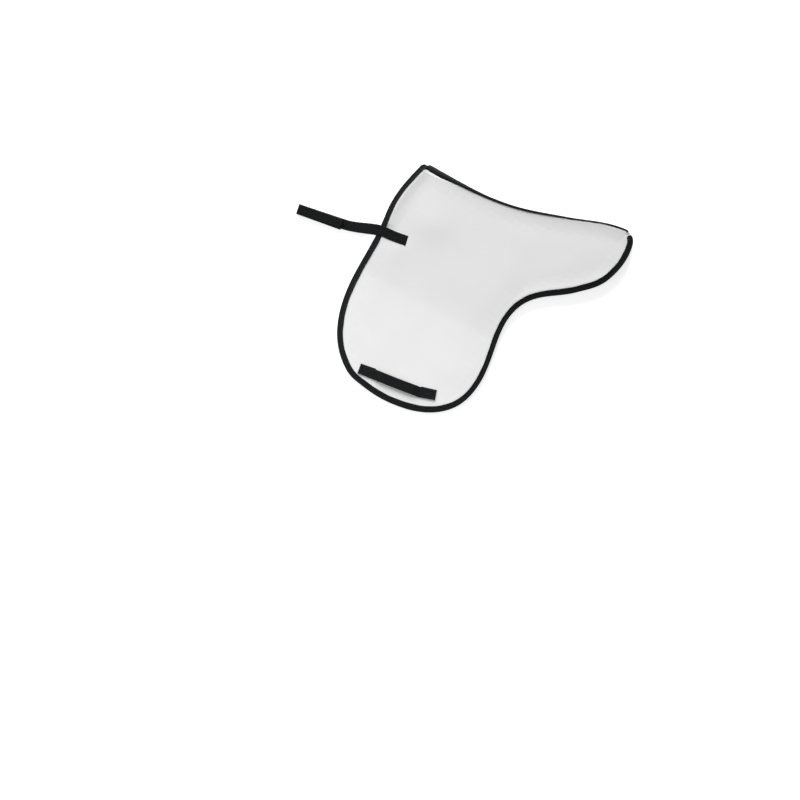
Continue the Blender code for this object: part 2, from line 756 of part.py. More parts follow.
def build_pad():
    looks = {
        "cover": make_material("white_laminated_jersey", WHITE_COVER, 0.75),
        "lining": make_material("white_lining_fabric", WHITE_LINING, 0.85),
        "foam": make_material("grey_foam", FOAM_GREY, 0.95),
        "tape": make_material("black_binding_tape", BLACK_TAPE, 0.70),
        "webbing": make_material("black_webbing", BLACK_WEBBING, 0.60),
        "loop": make_material("black_hook_and_loop", BLACK_LOOP, 0.95),
    }
    upper, lower = Panel(LEFT), Panel(RIGHT)
    spine_top = max(upper.outline[:, 1].max(), lower.outline[:, 1].max()) + GAP
    right_fold = (SPINE_LENGTH / 2, spine_top, CONTACT_HEIGHT)
    left_fold = (SPINE_LENGTH / 2, spine_top, CONTACT_HEIGHT + FOLD_LIFT)
    pad = make_pivot("pad", (0.0, 0.0, 0.0), None)
    spine = make_pivot("right_fold_axis", right_fold, pad)
    fold_axis = make_pivot("left_fold_axis", left_fold, spine)
    build_half(lower, "right", pad, looks)
    build_half(upper, "left", fold_axis, looks)
    build_strap(RIGHT, "right", pad, looks)
    build_strap(LEFT, "left", fold_axis, looks)
    tape = add_piece("spine_tape", spine_tape_mesh(upper, lower), looks["tape"], spine)
    wall = tape.modifiers.new("tape_thickness", "SOLIDIFY")
    wall.thickness = SPINE_TAPE_THICKNESS
    wall.offset = 1.0
    wall.use_even_offset = True
    return pad


def centre_on_footprint(pad):
    """Put the middle of the whole pad's footprint over the origin."""
    bpy.context.view_layer.update()
    corners = []
    for piece in parts.objects:
        if piece.type == "MESH":
            corners += [piece.matrix_world @ v.co for v in piece.data.vertices]
    low = [min(c[axis] for c in corners) for axis in range(3)]
    high = [max(c[axis] for c in corners) for axis in range(3)]
    pad.location = (-(low[0] + high[0]) / 2, -(low[1] + high[1]) / 2, -low[2])
    bpy.context.view_layer.update()


def print_summary():
    for item in parts.objects:
        place = item.matrix_world.translation
        if item.type == "EMPTY":
            print("pivot", item.name, [round(c * 1000, 2) for c in place])


clear_scene()
parts = make_collection(OBJECT_NAME)
guides = make_collection("guides")
centre_on_footprint(build_pad())
print_summary()
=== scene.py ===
"""Looks of the folded dressage saddle pad, laid out as an add-on and run as a script."""

import functools
import math

import bmesh
import bpy
import numpy as np
from mathutils import Matrix, Vector
from mathutils.geometry import interpolate_bezier


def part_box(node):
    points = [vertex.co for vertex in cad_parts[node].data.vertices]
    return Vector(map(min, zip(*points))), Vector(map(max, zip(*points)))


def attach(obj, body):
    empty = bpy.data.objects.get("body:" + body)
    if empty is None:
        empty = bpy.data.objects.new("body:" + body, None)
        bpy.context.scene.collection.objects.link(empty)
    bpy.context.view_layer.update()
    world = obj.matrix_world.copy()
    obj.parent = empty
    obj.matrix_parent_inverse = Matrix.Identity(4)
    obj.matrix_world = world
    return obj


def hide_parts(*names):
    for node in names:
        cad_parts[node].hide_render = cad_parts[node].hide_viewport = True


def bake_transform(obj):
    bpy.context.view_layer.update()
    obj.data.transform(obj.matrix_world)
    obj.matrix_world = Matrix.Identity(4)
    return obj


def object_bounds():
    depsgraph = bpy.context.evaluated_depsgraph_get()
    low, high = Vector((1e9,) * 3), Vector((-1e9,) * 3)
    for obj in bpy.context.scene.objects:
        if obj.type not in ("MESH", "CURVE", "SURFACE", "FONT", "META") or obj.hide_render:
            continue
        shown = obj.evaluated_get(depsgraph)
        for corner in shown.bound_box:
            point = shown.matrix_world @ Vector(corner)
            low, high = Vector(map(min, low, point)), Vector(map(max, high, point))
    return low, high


bl_info = {
    "name": "Dressage saddle pad",
    "version": (1, 0, 0),
    "blender": (4, 5, 0),
    "location": "View3D > Sidebar > Saddle pad",
    "description": "Builds the soft forms, tapes, webbing and stitching of a folded saddle pad",
    "category": "Mesh",
}

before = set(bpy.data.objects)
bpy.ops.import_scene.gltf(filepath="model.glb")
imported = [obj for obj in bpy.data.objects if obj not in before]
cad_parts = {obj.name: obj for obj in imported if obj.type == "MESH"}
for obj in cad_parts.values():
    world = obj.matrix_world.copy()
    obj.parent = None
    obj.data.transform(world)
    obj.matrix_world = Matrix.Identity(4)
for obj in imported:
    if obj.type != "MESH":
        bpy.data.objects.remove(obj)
cad_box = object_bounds()

LEFT, RIGHT = 1, -1
SIDE_NAMES = {LEFT: "left", RIGHT: "right"}
MM = 0.001


def linear(hex_colour):
    """An sRGB hex value as linear light."""
    channels = [int(hex_colour[place:place + 2], 16) / 255 for place in (0, 2, 4)]
    return tuple(c / 12.92 if c <= 0.04045 else ((c + 0.055) / 1.055) ** 2.4 for c in channels)


def length_property(name, description, default):
    """A length in metres, written here in millimetres."""
    return bpy.props.FloatProperty(
        name=name, description=description, default=default * MM, min=0.0, subtype="DISTANCE", unit="LENGTH"
    )


def colour_property(name, description, hex_colour):
    """A colour written here as sRGB and kept as linear light."""
    return bpy.props.FloatVectorProperty(
        name=name, description=description, default=linear(hex_colour), size=3, min=0.0, max=1.0,
        subtype="COLOR",
    )


class PadShapeSettings(bpy.types.PropertyGroup):
    """Cut of one half, seen from outside with the withers tip at zero."""

    spine_length: length_property("Spine", "Withers tip to the cantle's top", 508)
    spine_dip: length_property("Spine dip", "Depth of the dip in the spine line", 31.5)
    flap_drop: length_property("Drop", "Spine to the hem's lowest point", 580.5)
    flap_width: length_property("Flap width", "Front edge to back edge", 387.5)
    front_reach: length_property("Front reach", "How far the flap stands in front of the withers", 78.5)
    laminate: length_property("Laminate", "Thickness of one half", 10)
    fold_lift: length_property("Fold lift", "Rise of the upper half at the spine", 10)
    crown: length_property("Crown", "How far the padding swells above its edge", 2.3)
    crown_width: length_property("Crown width", "Width of the rise under the tape's inner edge", 11)
    cloth_grid: length_property("Cloth grid", "Spacing of the cloth simulation's points", 5)
    cloth_pressure: bpy.props.FloatProperty(
        name="Cloth pressure", description="Air pressure that swells the padding", default=0.06, min=0.0
    )


class PadTrimSettings(bpy.types.PropertyGroup):
    """Tapes, webbing and thread."""

    binding_width: length_property("Binding width", "Binding seen on each face", 14.5)
    binding_thickness: length_property("Binding thickness", "Tape thickness", 1.2)
    webbing_width: length_property("Webbing width", "Straps and girth keepers", 25)
    webbing_thickness: length_property("Webbing thickness", "Straps and girth keepers", 1.5)
    strap_drop: length_property("Strap drop", "Front strap below the withers tip", 192)
    strap_free: length_property("Free strap", "Front edge to the strap's tip", 203)
    tail_length: length_property("Strap tail", "Folded-back end of the strap", 115)
    keeper_length: length_property("Keeper length", "Girth keeper from end to end", 197)
    keeper_tab: length_property("Keeper tab", "Turned-under end of the girth keeper", 39)
    keeper_slack: length_property("Keeper slack", "Room for the girth under the keeper", 3.4)
    stitch_length: length_property("Stitch length", "One stitch of the sewing thread", 3.2)
    thread_thickness: length_property("Thread", "Thickness of the sewing thread", 0.55)


class PadColourSettings(bpy.types.PropertyGroup):
    """Colours of the fabrics."""

    cover: colour_property("Cover", "White knitted face", "F0F0F0")
    lining: colour_property("Lining", "Fabric on the horse's side", "E6E6E4")
    tape: colour_property("Tape", "Binding and spine tape", "16181A")
    webbing: colour_property("Webbing", "Straps and girth keepers", "131516")
    fastener: colour_property("Fastener", "Hook and loop strips", "1B1B1C")
    thread: colour_property("Thread", "Sewing thread on the tapes", "26282A")
    floor: colour_property("Floor", "Studio floor", "F4F4F4")


def shape():
    return bpy.context.scene.pad_shape


def trim():
    return bpy.context.scene.pad_trim


def colours():
    return bpy.context.scene.pad_colours


def ease(share):
    """Smooth rise from none to one."""
    share = np.clip(share, 0.0, 1.0)
    return share * share * (3.0 - 2.0 * share)


def ramp(value, begin, length):
    """Smooth rise from none to one, from a place over a length, both in mm."""
    return ease((value - begin * MM) / (length * MM))


# Cut of the halves

HANDLE_SHARE = 0.36
TIP_SLOPE = 10
TIPS = {LEFT: (1.2 * MM, -2.8 * MM), RIGHT: (15.5 * MM, -0.5 * MM)}
SPINE_KNOTS = 4


def outline_knots(side):
    """Knots of the cut in metres with headings in degrees, from the withers tip down the front."""
    cut = shape()
    front, back = -cut.front_reach, cut.flap_width - cut.front_reach
    hem, spine = -cut.flap_drop, cut.spine_length
    return [
        (*TIPS[side], -116),
        (front + 32.5 * MM, -150.0 * MM, -93),
        (front, -385.0 * MM, -89),
        (front + 62.5 * MM, hem + 43.5 * MM, -42),
        (front + 112.5 * MM, hem + 18.8 * MM, -20),
        (front + 222.5 * MM, hem, 0),
        (back - 25.0 * MM, hem + 70.5 * MM, 62),
        (back, hem + 220.5 * MM, 89),
        (back + 30.0 * MM, -251.0 * MM, 52),
        (back + 145.0 * MM, -181.0 * MM, 33),
        (spine + 11.0 * MM, -126.0 * MM, 59),
        (spine + 38.5 * MM, -30.0 * MM, 92),
        (spine + 27.0 * MM, -6.5 * MM, 138),
        (spine, 1.0 * MM, 178),
        (374.0 * MM, -16.5 * MM, 188),
        (214.0 * MM, -cut.spine_dip, 178),
    ]


def heading_vector(degrees):
    """Unit direction in plan, turned from the spine's direction."""
    return Vector((math.cos(math.radians(degrees)), math.sin(math.radians(degrees)), 0.0))


def cut_lines(side, step):
    """The cut as evenly spaced points: the bound edge and the seam, both in the outline's order."""
    knots = outline_knots(side)
    tip = (*TIPS[side], 180 - TIP_SLOPE)
    points = []
    spine_start = 0
    for number, ((x, y, heading), following) in enumerate(zip(knots, knots[1:] + [tip])):
        if number == len(knots) - SPINE_KNOTS:
            spine_start = len(points)
        start, end = Vector((x, y, 0.0)), Vector((*following[:2], 0.0))
        reach = (end - start).length * HANDLE_SHARE
        leave = start + heading_vector(heading) * reach
        arrive = end - heading_vector(following[2]) * reach
        pieces = max(2, round((end - start).length / step))
        points += interpolate_bezier(start, leave, arrive, end, pieces + 1)[:-1]
    outline = np.array([p[:2] for p in points])
    return outline[:spine_start + 1], np.vstack([outline[spine_start:], outline[:1]])


@functools.cache
def binding_corner():
    """Lowest corner of the upper half's binding in the frame."""
    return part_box("left_binding")[0]


def pad_origin():
    """Where the withers tip of the upper half lies in the frame."""
    low = binding_corner()
    return Vector((low[0] + shape().front_reach, low[1] + shape().flap_drop, 0.0))


# Levels measured outwards from the contact plane of the two halves

GAP = 0.3 * MM
INNER_LEVEL = GAP / 2
INNER_TUCK = 1.6 * MM
# The bend's line is turned from the spine by an angle and lies this far below it
BEND_TURN = math.radians(10.1)
BEND_DROP = 297.0 * MM
BEND_SOFTNESS = 9.0 * MM
BEND_FADE = 1.8


def contact_height():
    """Height of the plane where the two halves meet."""
    return shape().laminate + GAP / 2


def outer_level():
    """Level of a half's outer face before it is pressed or swelled."""
    return INNER_LEVEL + shape().laminate


def binding_levels():
    """Inner and outer faces of the binding at its fold."""
    thick = trim().binding_thickness
    inner = INNER_LEVEL + INNER_TUCK - GAP - thick
    return inner, outer_level() - shape().crown + GAP + thick


def fold_lift(x, y):
    """Rise of the upper half from the soft bend across the flap, steep at first, up to the spine."""
    distance = x * math.sin(BEND_TURN) + y * math.cos(BEND_TURN) + BEND_DROP
    distance = (distance + np.sqrt(distance * distance + BEND_SOFTNESS * BEND_SOFTNESS)) / 2
    share = np.clip(distance / BEND_DROP, 0.0, 1.0)
    return shape().fold_lift * (1.0 - (1.0 - share) ** BEND_FADE)


def to_frame(side, x, y, level):
    """A point of the pad's own cut and level as a point in the frame."""
    height = contact_height() + side * np.asarray(level)
    if side == LEFT:
        height = height + fold_lift(x, y)
    origin = pad_origin()
    return np.stack(np.broadcast_arrays(x + origin.x, y + origin.y, height), axis=-1)


# Rolls of foam beside the tapes. A pair says where a rise begins and how long it is, in mm

RIM_WIDTH = 13.0 * MM
PRESSED_FLAT = 4.0 * MM
RIM_REACH = 42.0 * MM
FRONT_RIM = 5.0 * MM
FRONT_FROM_BELOW, FRONT_TO_BACK = (-215, 45), (20, 60)
CURVE_RIM = 2.0 * MM
CURVE_FROM_FRONT, CURVE_TO_SPINE = (310, 40), (-140, 50)
WITHERS_ROLL, CANTLE_ROLL, CANTLE_RISE = 2.0 * MM, 3.2 * MM, (150, 250)
SEAM_FLAT, SEAM_RISE, SEAM_PRESS = 1.0 * MM, 5.0 * MM, 0.25
TAPE_NARROWS = (30, 85)


def under_tape(reach):
    """How strongly the binding presses the padding at a distance from the panel's edge."""
    return 1.0 - ease((reach - PRESSED_FLAT) / shape().crown_width)


def rim_fade(reach):
    """How much of a roll is left at a distance from the panel's edge."""
    return np.clip(1.0 - np.maximum(reach - PRESSED_FLAT, 0.0) / RIM_REACH, 0.0, 1.0) ** 2


def rim_height(x, y):
    """Height of the roll beside the binding: at the front by the withers, and behind under the seat."""
    front = ramp(y, *FRONT_FROM_BELOW) * (1.0 - ramp(x, *FRONT_TO_BACK))
    curve = ramp(x, *CURVE_FROM_FRONT) * (1.0 - ramp(y, *CURVE_TO_SPINE))
    return FRONT_RIM * front + CURVE_RIM * curve


def seam_roll(x):
    """Height of the roll beside the seam tape."""
    return WITHERS_ROLL + (CANTLE_ROLL - WITHERS_ROLL) * ramp(x, *CANTLE_RISE)


def seam_press(side, x):
    """How strongly the seam tape presses the padding's edge: less where it is narrow."""
    broad = 1.0 - ramp(x, *TAPE_NARROWS)
    return SEAM_PRESS + (1.0 - SEAM_PRESS) * broad if side == LEFT else np.ones_like(x)


def press_edge(points, side, beside_binding, beside_seam, room):
    """The edge pressed thin for the tapes, and how strongly at each point."""
    broad = 1.0 - ramp(points[:, 0], *TAPE_NARROWS)
    seam_flat = SEAM_FLAT + (PRESSED_FLAT - SEAM_FLAT) * broad
    seam_rise = SEAM_RISE + (shape().crown_width - SEAM_RISE) * broad
    by_seam = 1.0 - ease((beside_seam - seam_flat) / seam_rise)
    by_binding = under_tape(beside_binding)
    pressed = np.maximum(by_binding, by_seam * seam_press(side, points[:, 0]))
    share = (points[:, 2] - INNER_LEVEL) / shape().laminate
    low = INNER_LEVEL + INNER_TUCK * pressed
    high = outer_level() - shape().crown * pressed + room * np.maximum(by_binding, by_seam)
    points[:, 2] = low + (high - low) * share
    return pressed


def rolled_rim(x, y, beside_binding, beside_seam, pressed):
    """Foam squeezed up beside the tapes."""
    beside_tape = seam_roll(x) * rim_fade(beside_seam + PRESSED_FLAT)
    return np.maximum(rim_height(x, y) * rim_fade(beside_binding), beside_tape) * (1.0 - pressed)


# Mesh building

WELD_DISTANCE = 0.001 * MM


def unit(rows):
    """Each row scaled to length one."""
    return rows / np.linalg.norm(rows, axis=1)[:, None]


def line_lengths(line):
    """Distance travelled along a line at each of its points."""
    return np.concatenate([[0.0], np.cumsum(np.linalg.norm(np.diff(line, axis=0), axis=1))])


def distance_to_line(spots, line):
    """Shortest distance in plan from each spot to a line of points."""
    nearest = np.full(len(spots), np.inf)
    for start, end in zip(line[:-1], line[1:]):
        along = end - start
        share = np.clip((spots - start) @ along / (along @ along), 0.0, 1.0)
        foot = start + share[:, None] * along
        nearest = np.minimum(nearest, np.linalg.norm(spots - foot, axis=1))
    return nearest


def finish_piece(name, mesh, *materials):
    """A named, smooth object at the origin with its materials."""
    mesh.name = name
    piece = bpy.data.objects.new(name, mesh)
    bpy.context.scene.collection.objects.link(piece)
    for material in materials:
        mesh.materials.append(material)
    mesh.shade_smooth()
    return piece


def mesh_from(work, name):
    """The bmesh as a new mesh. The bmesh itself goes."""
    mesh = bpy.data.meshes.new(name)
    work.to_mesh(mesh)
    work.free()
    return mesh


def close_and_face_outwards(work):
    bmesh.ops.holes_fill(work, edges=[e for e in work.edges if e.is_boundary])
    work.normal_update()
    bmesh.ops.recalc_face_normals(work, faces=work.faces[:])
    if work.calc_volume(signed=True) < 0.0:
        bmesh.ops.reverse_faces(work, faces=work.faces[:])


def loft(rings, start_along=0.0):
    """A closed tube from ring to ring, with its length and girth in metres as a UV map."""
    rings = np.asarray(rings, float)
    rings = np.concatenate([rings, rings[:, :1]], axis=1)
    count, around = rings.shape[:2]
    girth = line_lengths(rings[0])
    along = start_along + line_lengths(rings.mean(axis=1))
    work = bmesh.new()
    bmesh.ops.create_grid(work, x_segments=around - 1, y_segments=count - 1, size=1.0)
    tape_map = work.loops.layers.uv.new("tape")
    for number, vert in enumerate(work.verts):
        vert.co = rings[number // around, number % around]
    for face in work.faces:
        for corner in face.loops:
            row, column = divmod(corner.vert.index, around)
            corner[tape_map].uv = (along[row], girth[column])
    bmesh.ops.remove_doubles(work, verts=work.verts[:], dist=WELD_DISTANCE)
    close_and_face_outwards(work)
    return mesh_from(work, "loft")


def strip_mesh(path, widths, width, thickness, start_along=0.0):
    """A woven strip with flat faces and rounded edges, its width square to the path in plan."""
    half, deep = width / 2, thickness / 2
    turns = np.linspace(-math.pi / 2, math.pi / 2, 5)
    right = [(half - deep + deep * math.cos(a), deep * math.sin(a)) for a in turns]
    right += [(half * share, deep) for share in (0.7, 0.35, 0.0)]
    left = [(-y, z) for y, z in right[-2::-1]]
    under = [(half * share, -deep) for share in (-0.35, 0.0, 0.35, 0.7)]
    section = np.array(right + left + under)
    path, widths = np.asarray(path, float), np.asarray(widths, float)
    runs = unit(np.gradient(path, axis=0))
    across = unit(widths - runs * np.sum(widths * runs, axis=1)[:, None])
    normals = np.cross(runs, across)
    lanes, heights = section[None, :, :1], section[None, :, 1:]
    return loft(path[:, None] + lanes * across[:, None] + heights * normals[:, None], start_along)


# Padded halves

PANEL_STEP = 8.0 * MM
KEEPER_TURN = math.radians(-2.4)
KEEPER_KINK = math.radians(10.5)
KEEPER_FROM_FRONT = 90.0 * MM
KEEPER_ABOVE_HEM = 53.5 * MM
STRAP_ON_PANEL = 74.0 * MM
KEEPER_PRESS = {LEFT: 1.0 * MM, RIGHT: 3.3 * MM}
STRAP_PRESS = {LEFT: 1.0 * MM, RIGHT: 1.8 * MM}
PRESS_SHOULDER = 14.0 * MM


def strap_front_x():
    """x of the front edge at the strap's height."""
    line, _ = cut_lines(LEFT, PANEL_STEP)
    front = line[:len(line) // 2]
    return float(np.interp(trim().strap_drop, -front[:, 1], front[:, 0]))


def keeper_centre():
    """Plan position of a girth keeper's middle."""
    reach = trim().keeper_length * math.cos(KEEPER_TURN) / 2
    return np.array([KEEPER_FROM_FRONT - shape().front_reach + reach, KEEPER_ABOVE_HEM - shape().flap_drop])


def pressed_places(side):
    """Where sewn-down webbing presses the padding: centre, turn, half length and depth."""
    rim = trim().binding_width + shape().crown_width / 2
    half_patch = (STRAP_ON_PANEL - rim) / 2
    patch_centre = np.array([strap_front_x() + STRAP_ON_PANEL - half_patch, -trim().strap_drop])
    return [
        (keeper_centre(), KEEPER_TURN, trim().keeper_length / 2, KEEPER_PRESS[side]),
        (patch_centre, 0.0, half_patch, STRAP_PRESS[side]),
    ]


def press_depth(spots, side):
    """How deep sewn webbing presses the cover in at each spot, with a soft shoulder."""
    depth = np.zeros(len(spots))
    for centre, turn, half_length, deepest in pressed_places(side):
        offset = spots - centre
        along = np.abs(offset @ np.array([math.cos(turn), math.sin(turn)])) - half_length
        across = np.abs(offset @ np.array([-math.sin(turn), math.cos(turn)])) - trim().webbing_width / 2
        outside = np.hypot(np.maximum(along, 0.0), np.maximum(across, 0.0))
        depth = np.maximum(depth, deepest * (1.0 - ease(outside / PRESS_SHOULDER)))
    return depth


def cut_back():
    """How far the panel stays behind the cut, where the binding goes round it."""
    return trim().binding_thickness + GAP


def edge_reaches(spots, lines):
    """Distances from the panel's own edge along the binding and along the seam."""
    return [distance_to_line(spots, line) - cut_back() for line in lines]


def panel_blank(bound_line, spine_line):
    """A closed, flat slab of one half."""
    work = bmesh.new()
    outline = np.vstack([bound_line[:-1], spine_line[:-1]])
    middle = work.faces.new([work.verts.new((x, y, INNER_LEVEL)) for x, y in outline])
    middle.normal_update()
    ring = bmesh.ops.inset_region(work, faces=[middle], thickness=cut_back(), use_boundary=True)
    bmesh.ops.delete(work, geom=ring["faces"], context="FACES")
    slab = bmesh.ops.extrude_face_region(work, geom=work.faces[:])["geom"]
    upper = [item for item in slab if isinstance(item, bmesh.types.BMVert)]
    bmesh.ops.translate(work, verts=upper, vec=(0.0, 0.0, shape().laminate))
    close_and_face_outwards(work)
    return mesh_from(work, "panel_blank")


def baked_mesh(holder):
    """The object's mesh with its modifiers applied. The object itself goes."""
    bpy.context.view_layer.update()
    evaluated = holder.evaluated_get(bpy.context.evaluated_depsgraph_get())
    mesh = bpy.data.meshes.new_from_object(evaluated)
    bpy.data.objects.remove(holder)
    return mesh


def with_modifier(mesh, kind, **settings):
    """The mesh after one modifier."""
    holder = finish_piece("panel_form", mesh)
    modifier = holder.modifiers.new(kind.lower(), kind)
    for key, value in settings.items():
        setattr(modifier, key, value)
    return baked_mesh(holder)


def mesh_points(mesh):
    points = np.empty(len(mesh.vertices) * 3)
    mesh.vertices.foreach_get("co", points)
    return points.reshape(-1, 3)


def set_mesh_points(mesh, points):
    mesh.vertices.foreach_set("co", np.ascontiguousarray(points).ravel())
    mesh.update()


SWELL_FRAMES = 20
SWELL_ROOM = 0.8 * MM
SWELL_CAP = 2.2 * MM
SEWN_DEPTH = 0.6 * MM
CLOTH = {
    "quality": 4,
    "mass": 0.15,
    "tension_stiffness": 12.0,
    "compression_stiffness": 12.0,
    "bending_stiffness": 2.0,
    "use_pressure": True,
    "vertex_group_mass": "sewn",
}


def swell(mesh, side, held):
    """Blow one face of the padding up as cloth, held along its edge and under the sewn webbing."""
    start = mesh_points(mesh)
    share = (start[:, 2] - INNER_LEVEL) / shape().laminate
    still = held | (share < 0.7 if side == LEFT else share > 0.3)
    holder = finish_piece("panel_cloth", mesh.copy())
    sewn = holder.vertex_groups.new(name="sewn")
    sewn.add([int(n) for n in np.flatnonzero(still)], 1.0, "REPLACE")
    cloth = holder.modifiers.new("cloth", "CLOTH")
    for key, value in CLOTH.items():
        setattr(cloth.settings, key, value)
    cloth.settings.uniform_pressure_force = shape().cloth_pressure
    cloth.settings.effector_weights.gravity = 0.0
    cloth.collision_settings.use_collision = False
    cloth.point_cache.frame_start = 1
    cloth.point_cache.frame_end = SWELL_FRAMES
    for number in range(1, SWELL_FRAMES + 1):
        bpy.context.scene.frame_set(number)
    moved = mesh_points(baked_mesh(holder)) - start
    bpy.context.scene.frame_set(1)
    moved = SWELL_CAP * np.tanh(moved / SWELL_CAP)
    moved[:, 2] += -SWELL_ROOM * share if side == LEFT else SWELL_ROOM * (1.0 - share)
    set_mesh_points(mesh, start + moved)


UNEVENNESS = 0.35 * MM
RIPPLE = 0.12 * MM
LOOSE_RISE = 25.0 * MM
RIPPLE_ENDS = (33, 25)
# Place, radius and height
SOFT_BUMPS = [
    (66.0 * MM, -138.0 * MM, 46.0 * MM, 2.3 * MM),
    (10.0 * MM, -222.0 * MM, 34.0 * MM, 1.3 * MM),
]
COVER_ROLL = 1.3 * MM
COVER_ROLL_REACH = 6.0 * MM
COVER_ROLL_BEGINS = (330, 120)
LINING_SHARE = 0.4


def soft_waves(x, y):
    """Slow unevenness of padded cloth that lies loose, in shares of one."""
    wave = np.sin(x * 21.0 + 1.3 * np.sin(y * 9.0) + 0.7) * np.sin(y * 17.0 + 0.9 * np.sin(x * 11.0) + 2.1)
    return 0.6 * wave + 0.4 * np.sin(x * 37.0 + y * 23.0 + 1.9) * np.sin(y * 41.0 - x * 13.0)


def loose_cloth(x, y, inward):
    """Slow waves, short ripples near the rim and two soft bumps, as a change of level."""
    free = ease((inward - RIM_WIDTH) / LOOSE_RISE)
    ripple = RIPPLE * np.sin((x + 0.6 * y) * 190.0) * np.sin((y - 0.4 * x) * 230.0 + 0.8)
    change = free * (UNEVENNESS * soft_waves(x, y) + ripple * (1.0 - ramp(inward, *RIPPLE_ENDS)))
    for centre_x, centre_y, radius, rise in SOFT_BUMPS:
        distance = np.hypot(x - centre_x, y - centre_y)
        change = change + rise * np.exp(-((distance / radius) ** 2))
    return change


def shape_panel(points, side, lines, room):
    """Pressed edges, dimples, slow waves, the bend and the lift. Returns frame points."""
    beside_binding, beside_seam = edge_reaches(points[:, :2], lines)
    pressed = press_edge(points, side, beside_binding, beside_seam, room)
    x, y, level = points.T
    outward = ease((level - INNER_LEVEL) / shape().laminate)
    change = loose_cloth(x, y, np.minimum(beside_binding, beside_seam))
    depth = press_depth(points[:, :2], side)
    if side == LEFT:
        rolled = rolled_rim(x, y, beside_binding, beside_seam, pressed)
        change = change + rolled * (1.0 - depth / np.max(depth)) - np.maximum(depth - room, 0.0)
        over_tape = np.exp(-np.maximum(beside_seam, 0.0) / COVER_ROLL_REACH) * ramp(x, *COVER_ROLL_BEGINS)
        y = y + COVER_ROLL * over_tape * outward
    else:
        change = np.minimum(change, 0.0) - depth
    level = np.maximum(level + change * outward, INNER_LEVEL * 0.5)
    level = np.minimum(level, panel_ceiling(side, x, y, beside_binding))
    return to_frame(side, x, y, level)


def lining_faces(mesh, side):
    """Whether each face is on the horse's side."""
    normals = np.array([f.normal[:] for f in mesh.polygons])
    centres = np.array([f.center[:] for f in mesh.polygons])
    origin = pad_origin()
    top = shape().laminate * LINING_SHARE
    plane = to_frame(side, centres[:, 0] - origin.x, centres[:, 1] - origin.y, top)
    return (normals[:, 2] * side < -0.2) & ((centres[:, 2] - plane[:, 2]) * side < 0.0)


def padded_half(side):
    """One padded half with its cover outside and its lining on the horse's side."""
    lines = cut_lines(side, PANEL_STEP)
    grid = {"mode": "VOXEL", "voxel_size": shape().cloth_grid, "use_smooth_shade": True}
    mesh = with_modifier(panel_blank(*lines), "REMESH", **grid)
    room = 0.0
    points = mesh_points(mesh)
    edge = np.minimum(*edge_reaches(points[:, :2], lines)) < RIM_WIDTH
    sewn = press_depth(points[:, :2], side) > SEWN_DEPTH
    swell(mesh, side, edge | (sewn & (points[:, 2] > shape().laminate / 2)))
    mesh = with_modifier(mesh, "SUBSURF", levels=1, render_levels=1)
    room = SWELL_ROOM
    set_mesh_points(mesh, shape_panel(mesh_points(mesh), side, lines, room))
    if side == RIGHT:
        mesh.flip_normals()
    mesh.update()
    name = SIDE_NAMES[side]
    piece = finish_piece(f"{name}_padded_half", mesh, laminated_jersey(), lining_knit())
    mesh.polygons.foreach_set("material_index", lining_faces(mesh, side).astype(np.int32))
    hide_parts(f"{name}_outer_cover", f"{name}_foam_core", f"{name}_lining")
    ride_half(piece, side)


def ride_half(piece, side):
    """The piece's place is baked into its mesh, in the same way for either half."""
    if side == LEFT:
        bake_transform(piece)
    else:
        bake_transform(piece)


def dressed(name, mesh, finish, slot, *replaced):
    """A piece of one finish, in place of the solids that it stands for."""
    piece = finish_piece(name, mesh, finish)
    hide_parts(*replaced)
    return piece


# Tapes

LIP_THICKNESS = 0.7 * MM
LIP_GAP = 0.1 * MM
FREE_ROOM = 8.0 * MM
HELD_BESIDE_STRAP = (1, 14)
STRAP_SIDE = 150.0 * MM
NOSE_SHARE = 0.72


def outer_leg(lane, leg, rim, ceiling):
    """Both faces of the binding's outer leg at distances in from the fold. It climbs with the foam."""
    thick = trim().binding_thickness
    inner, outer = binding_levels()
    nose = (outer - inner) / 2
    reach = lane - thick - GAP
    climb = (shape().crown + rim * rim_fade(reach)) * (1.0 - under_tape(reach))
    share = (lane - nose) / (leg - nose)
    thinner = (LIP_THICKNESS - thick) * share
    over = np.minimum(outer + climb + thinner + (LIP_GAP - GAP) * share, ceiling)
    return over, over - thick - thinner


def leg_ceiling(side, x, y):
    """Highest level of the outer leg: flat on the floor below, and held down by the strap above."""
    if side == RIGHT:
        return np.full(np.shape(x), contact_height())
    from_strap = np.abs(y + trim().strap_drop - strap_sway(strap_front_x() + HUMP_AT))
    held = 1.0 - ramp(from_strap - trim().webbing_width / 2, *HELD_BESIDE_STRAP)
    held = np.where(np.asarray(x) > STRAP_SIDE, 0.0, held)
    return binding_levels()[1] + 0.1 * MM + FREE_ROOM * (1.0 - held)


def panel_ceiling(side, x, y, beside_binding):
    """Highest level of the padding, which stays under the binding's outer leg."""
    under_leg = 1.0 - ramp(beside_binding - trim().binding_width, 0.5, 8)
    free = 0.0 if side == RIGHT else FREE_ROOM
    return leg_ceiling(side, x, y) - (LIP_THICKNESS + LIP_GAP) * under_leg + free * (1.0 - under_leg)


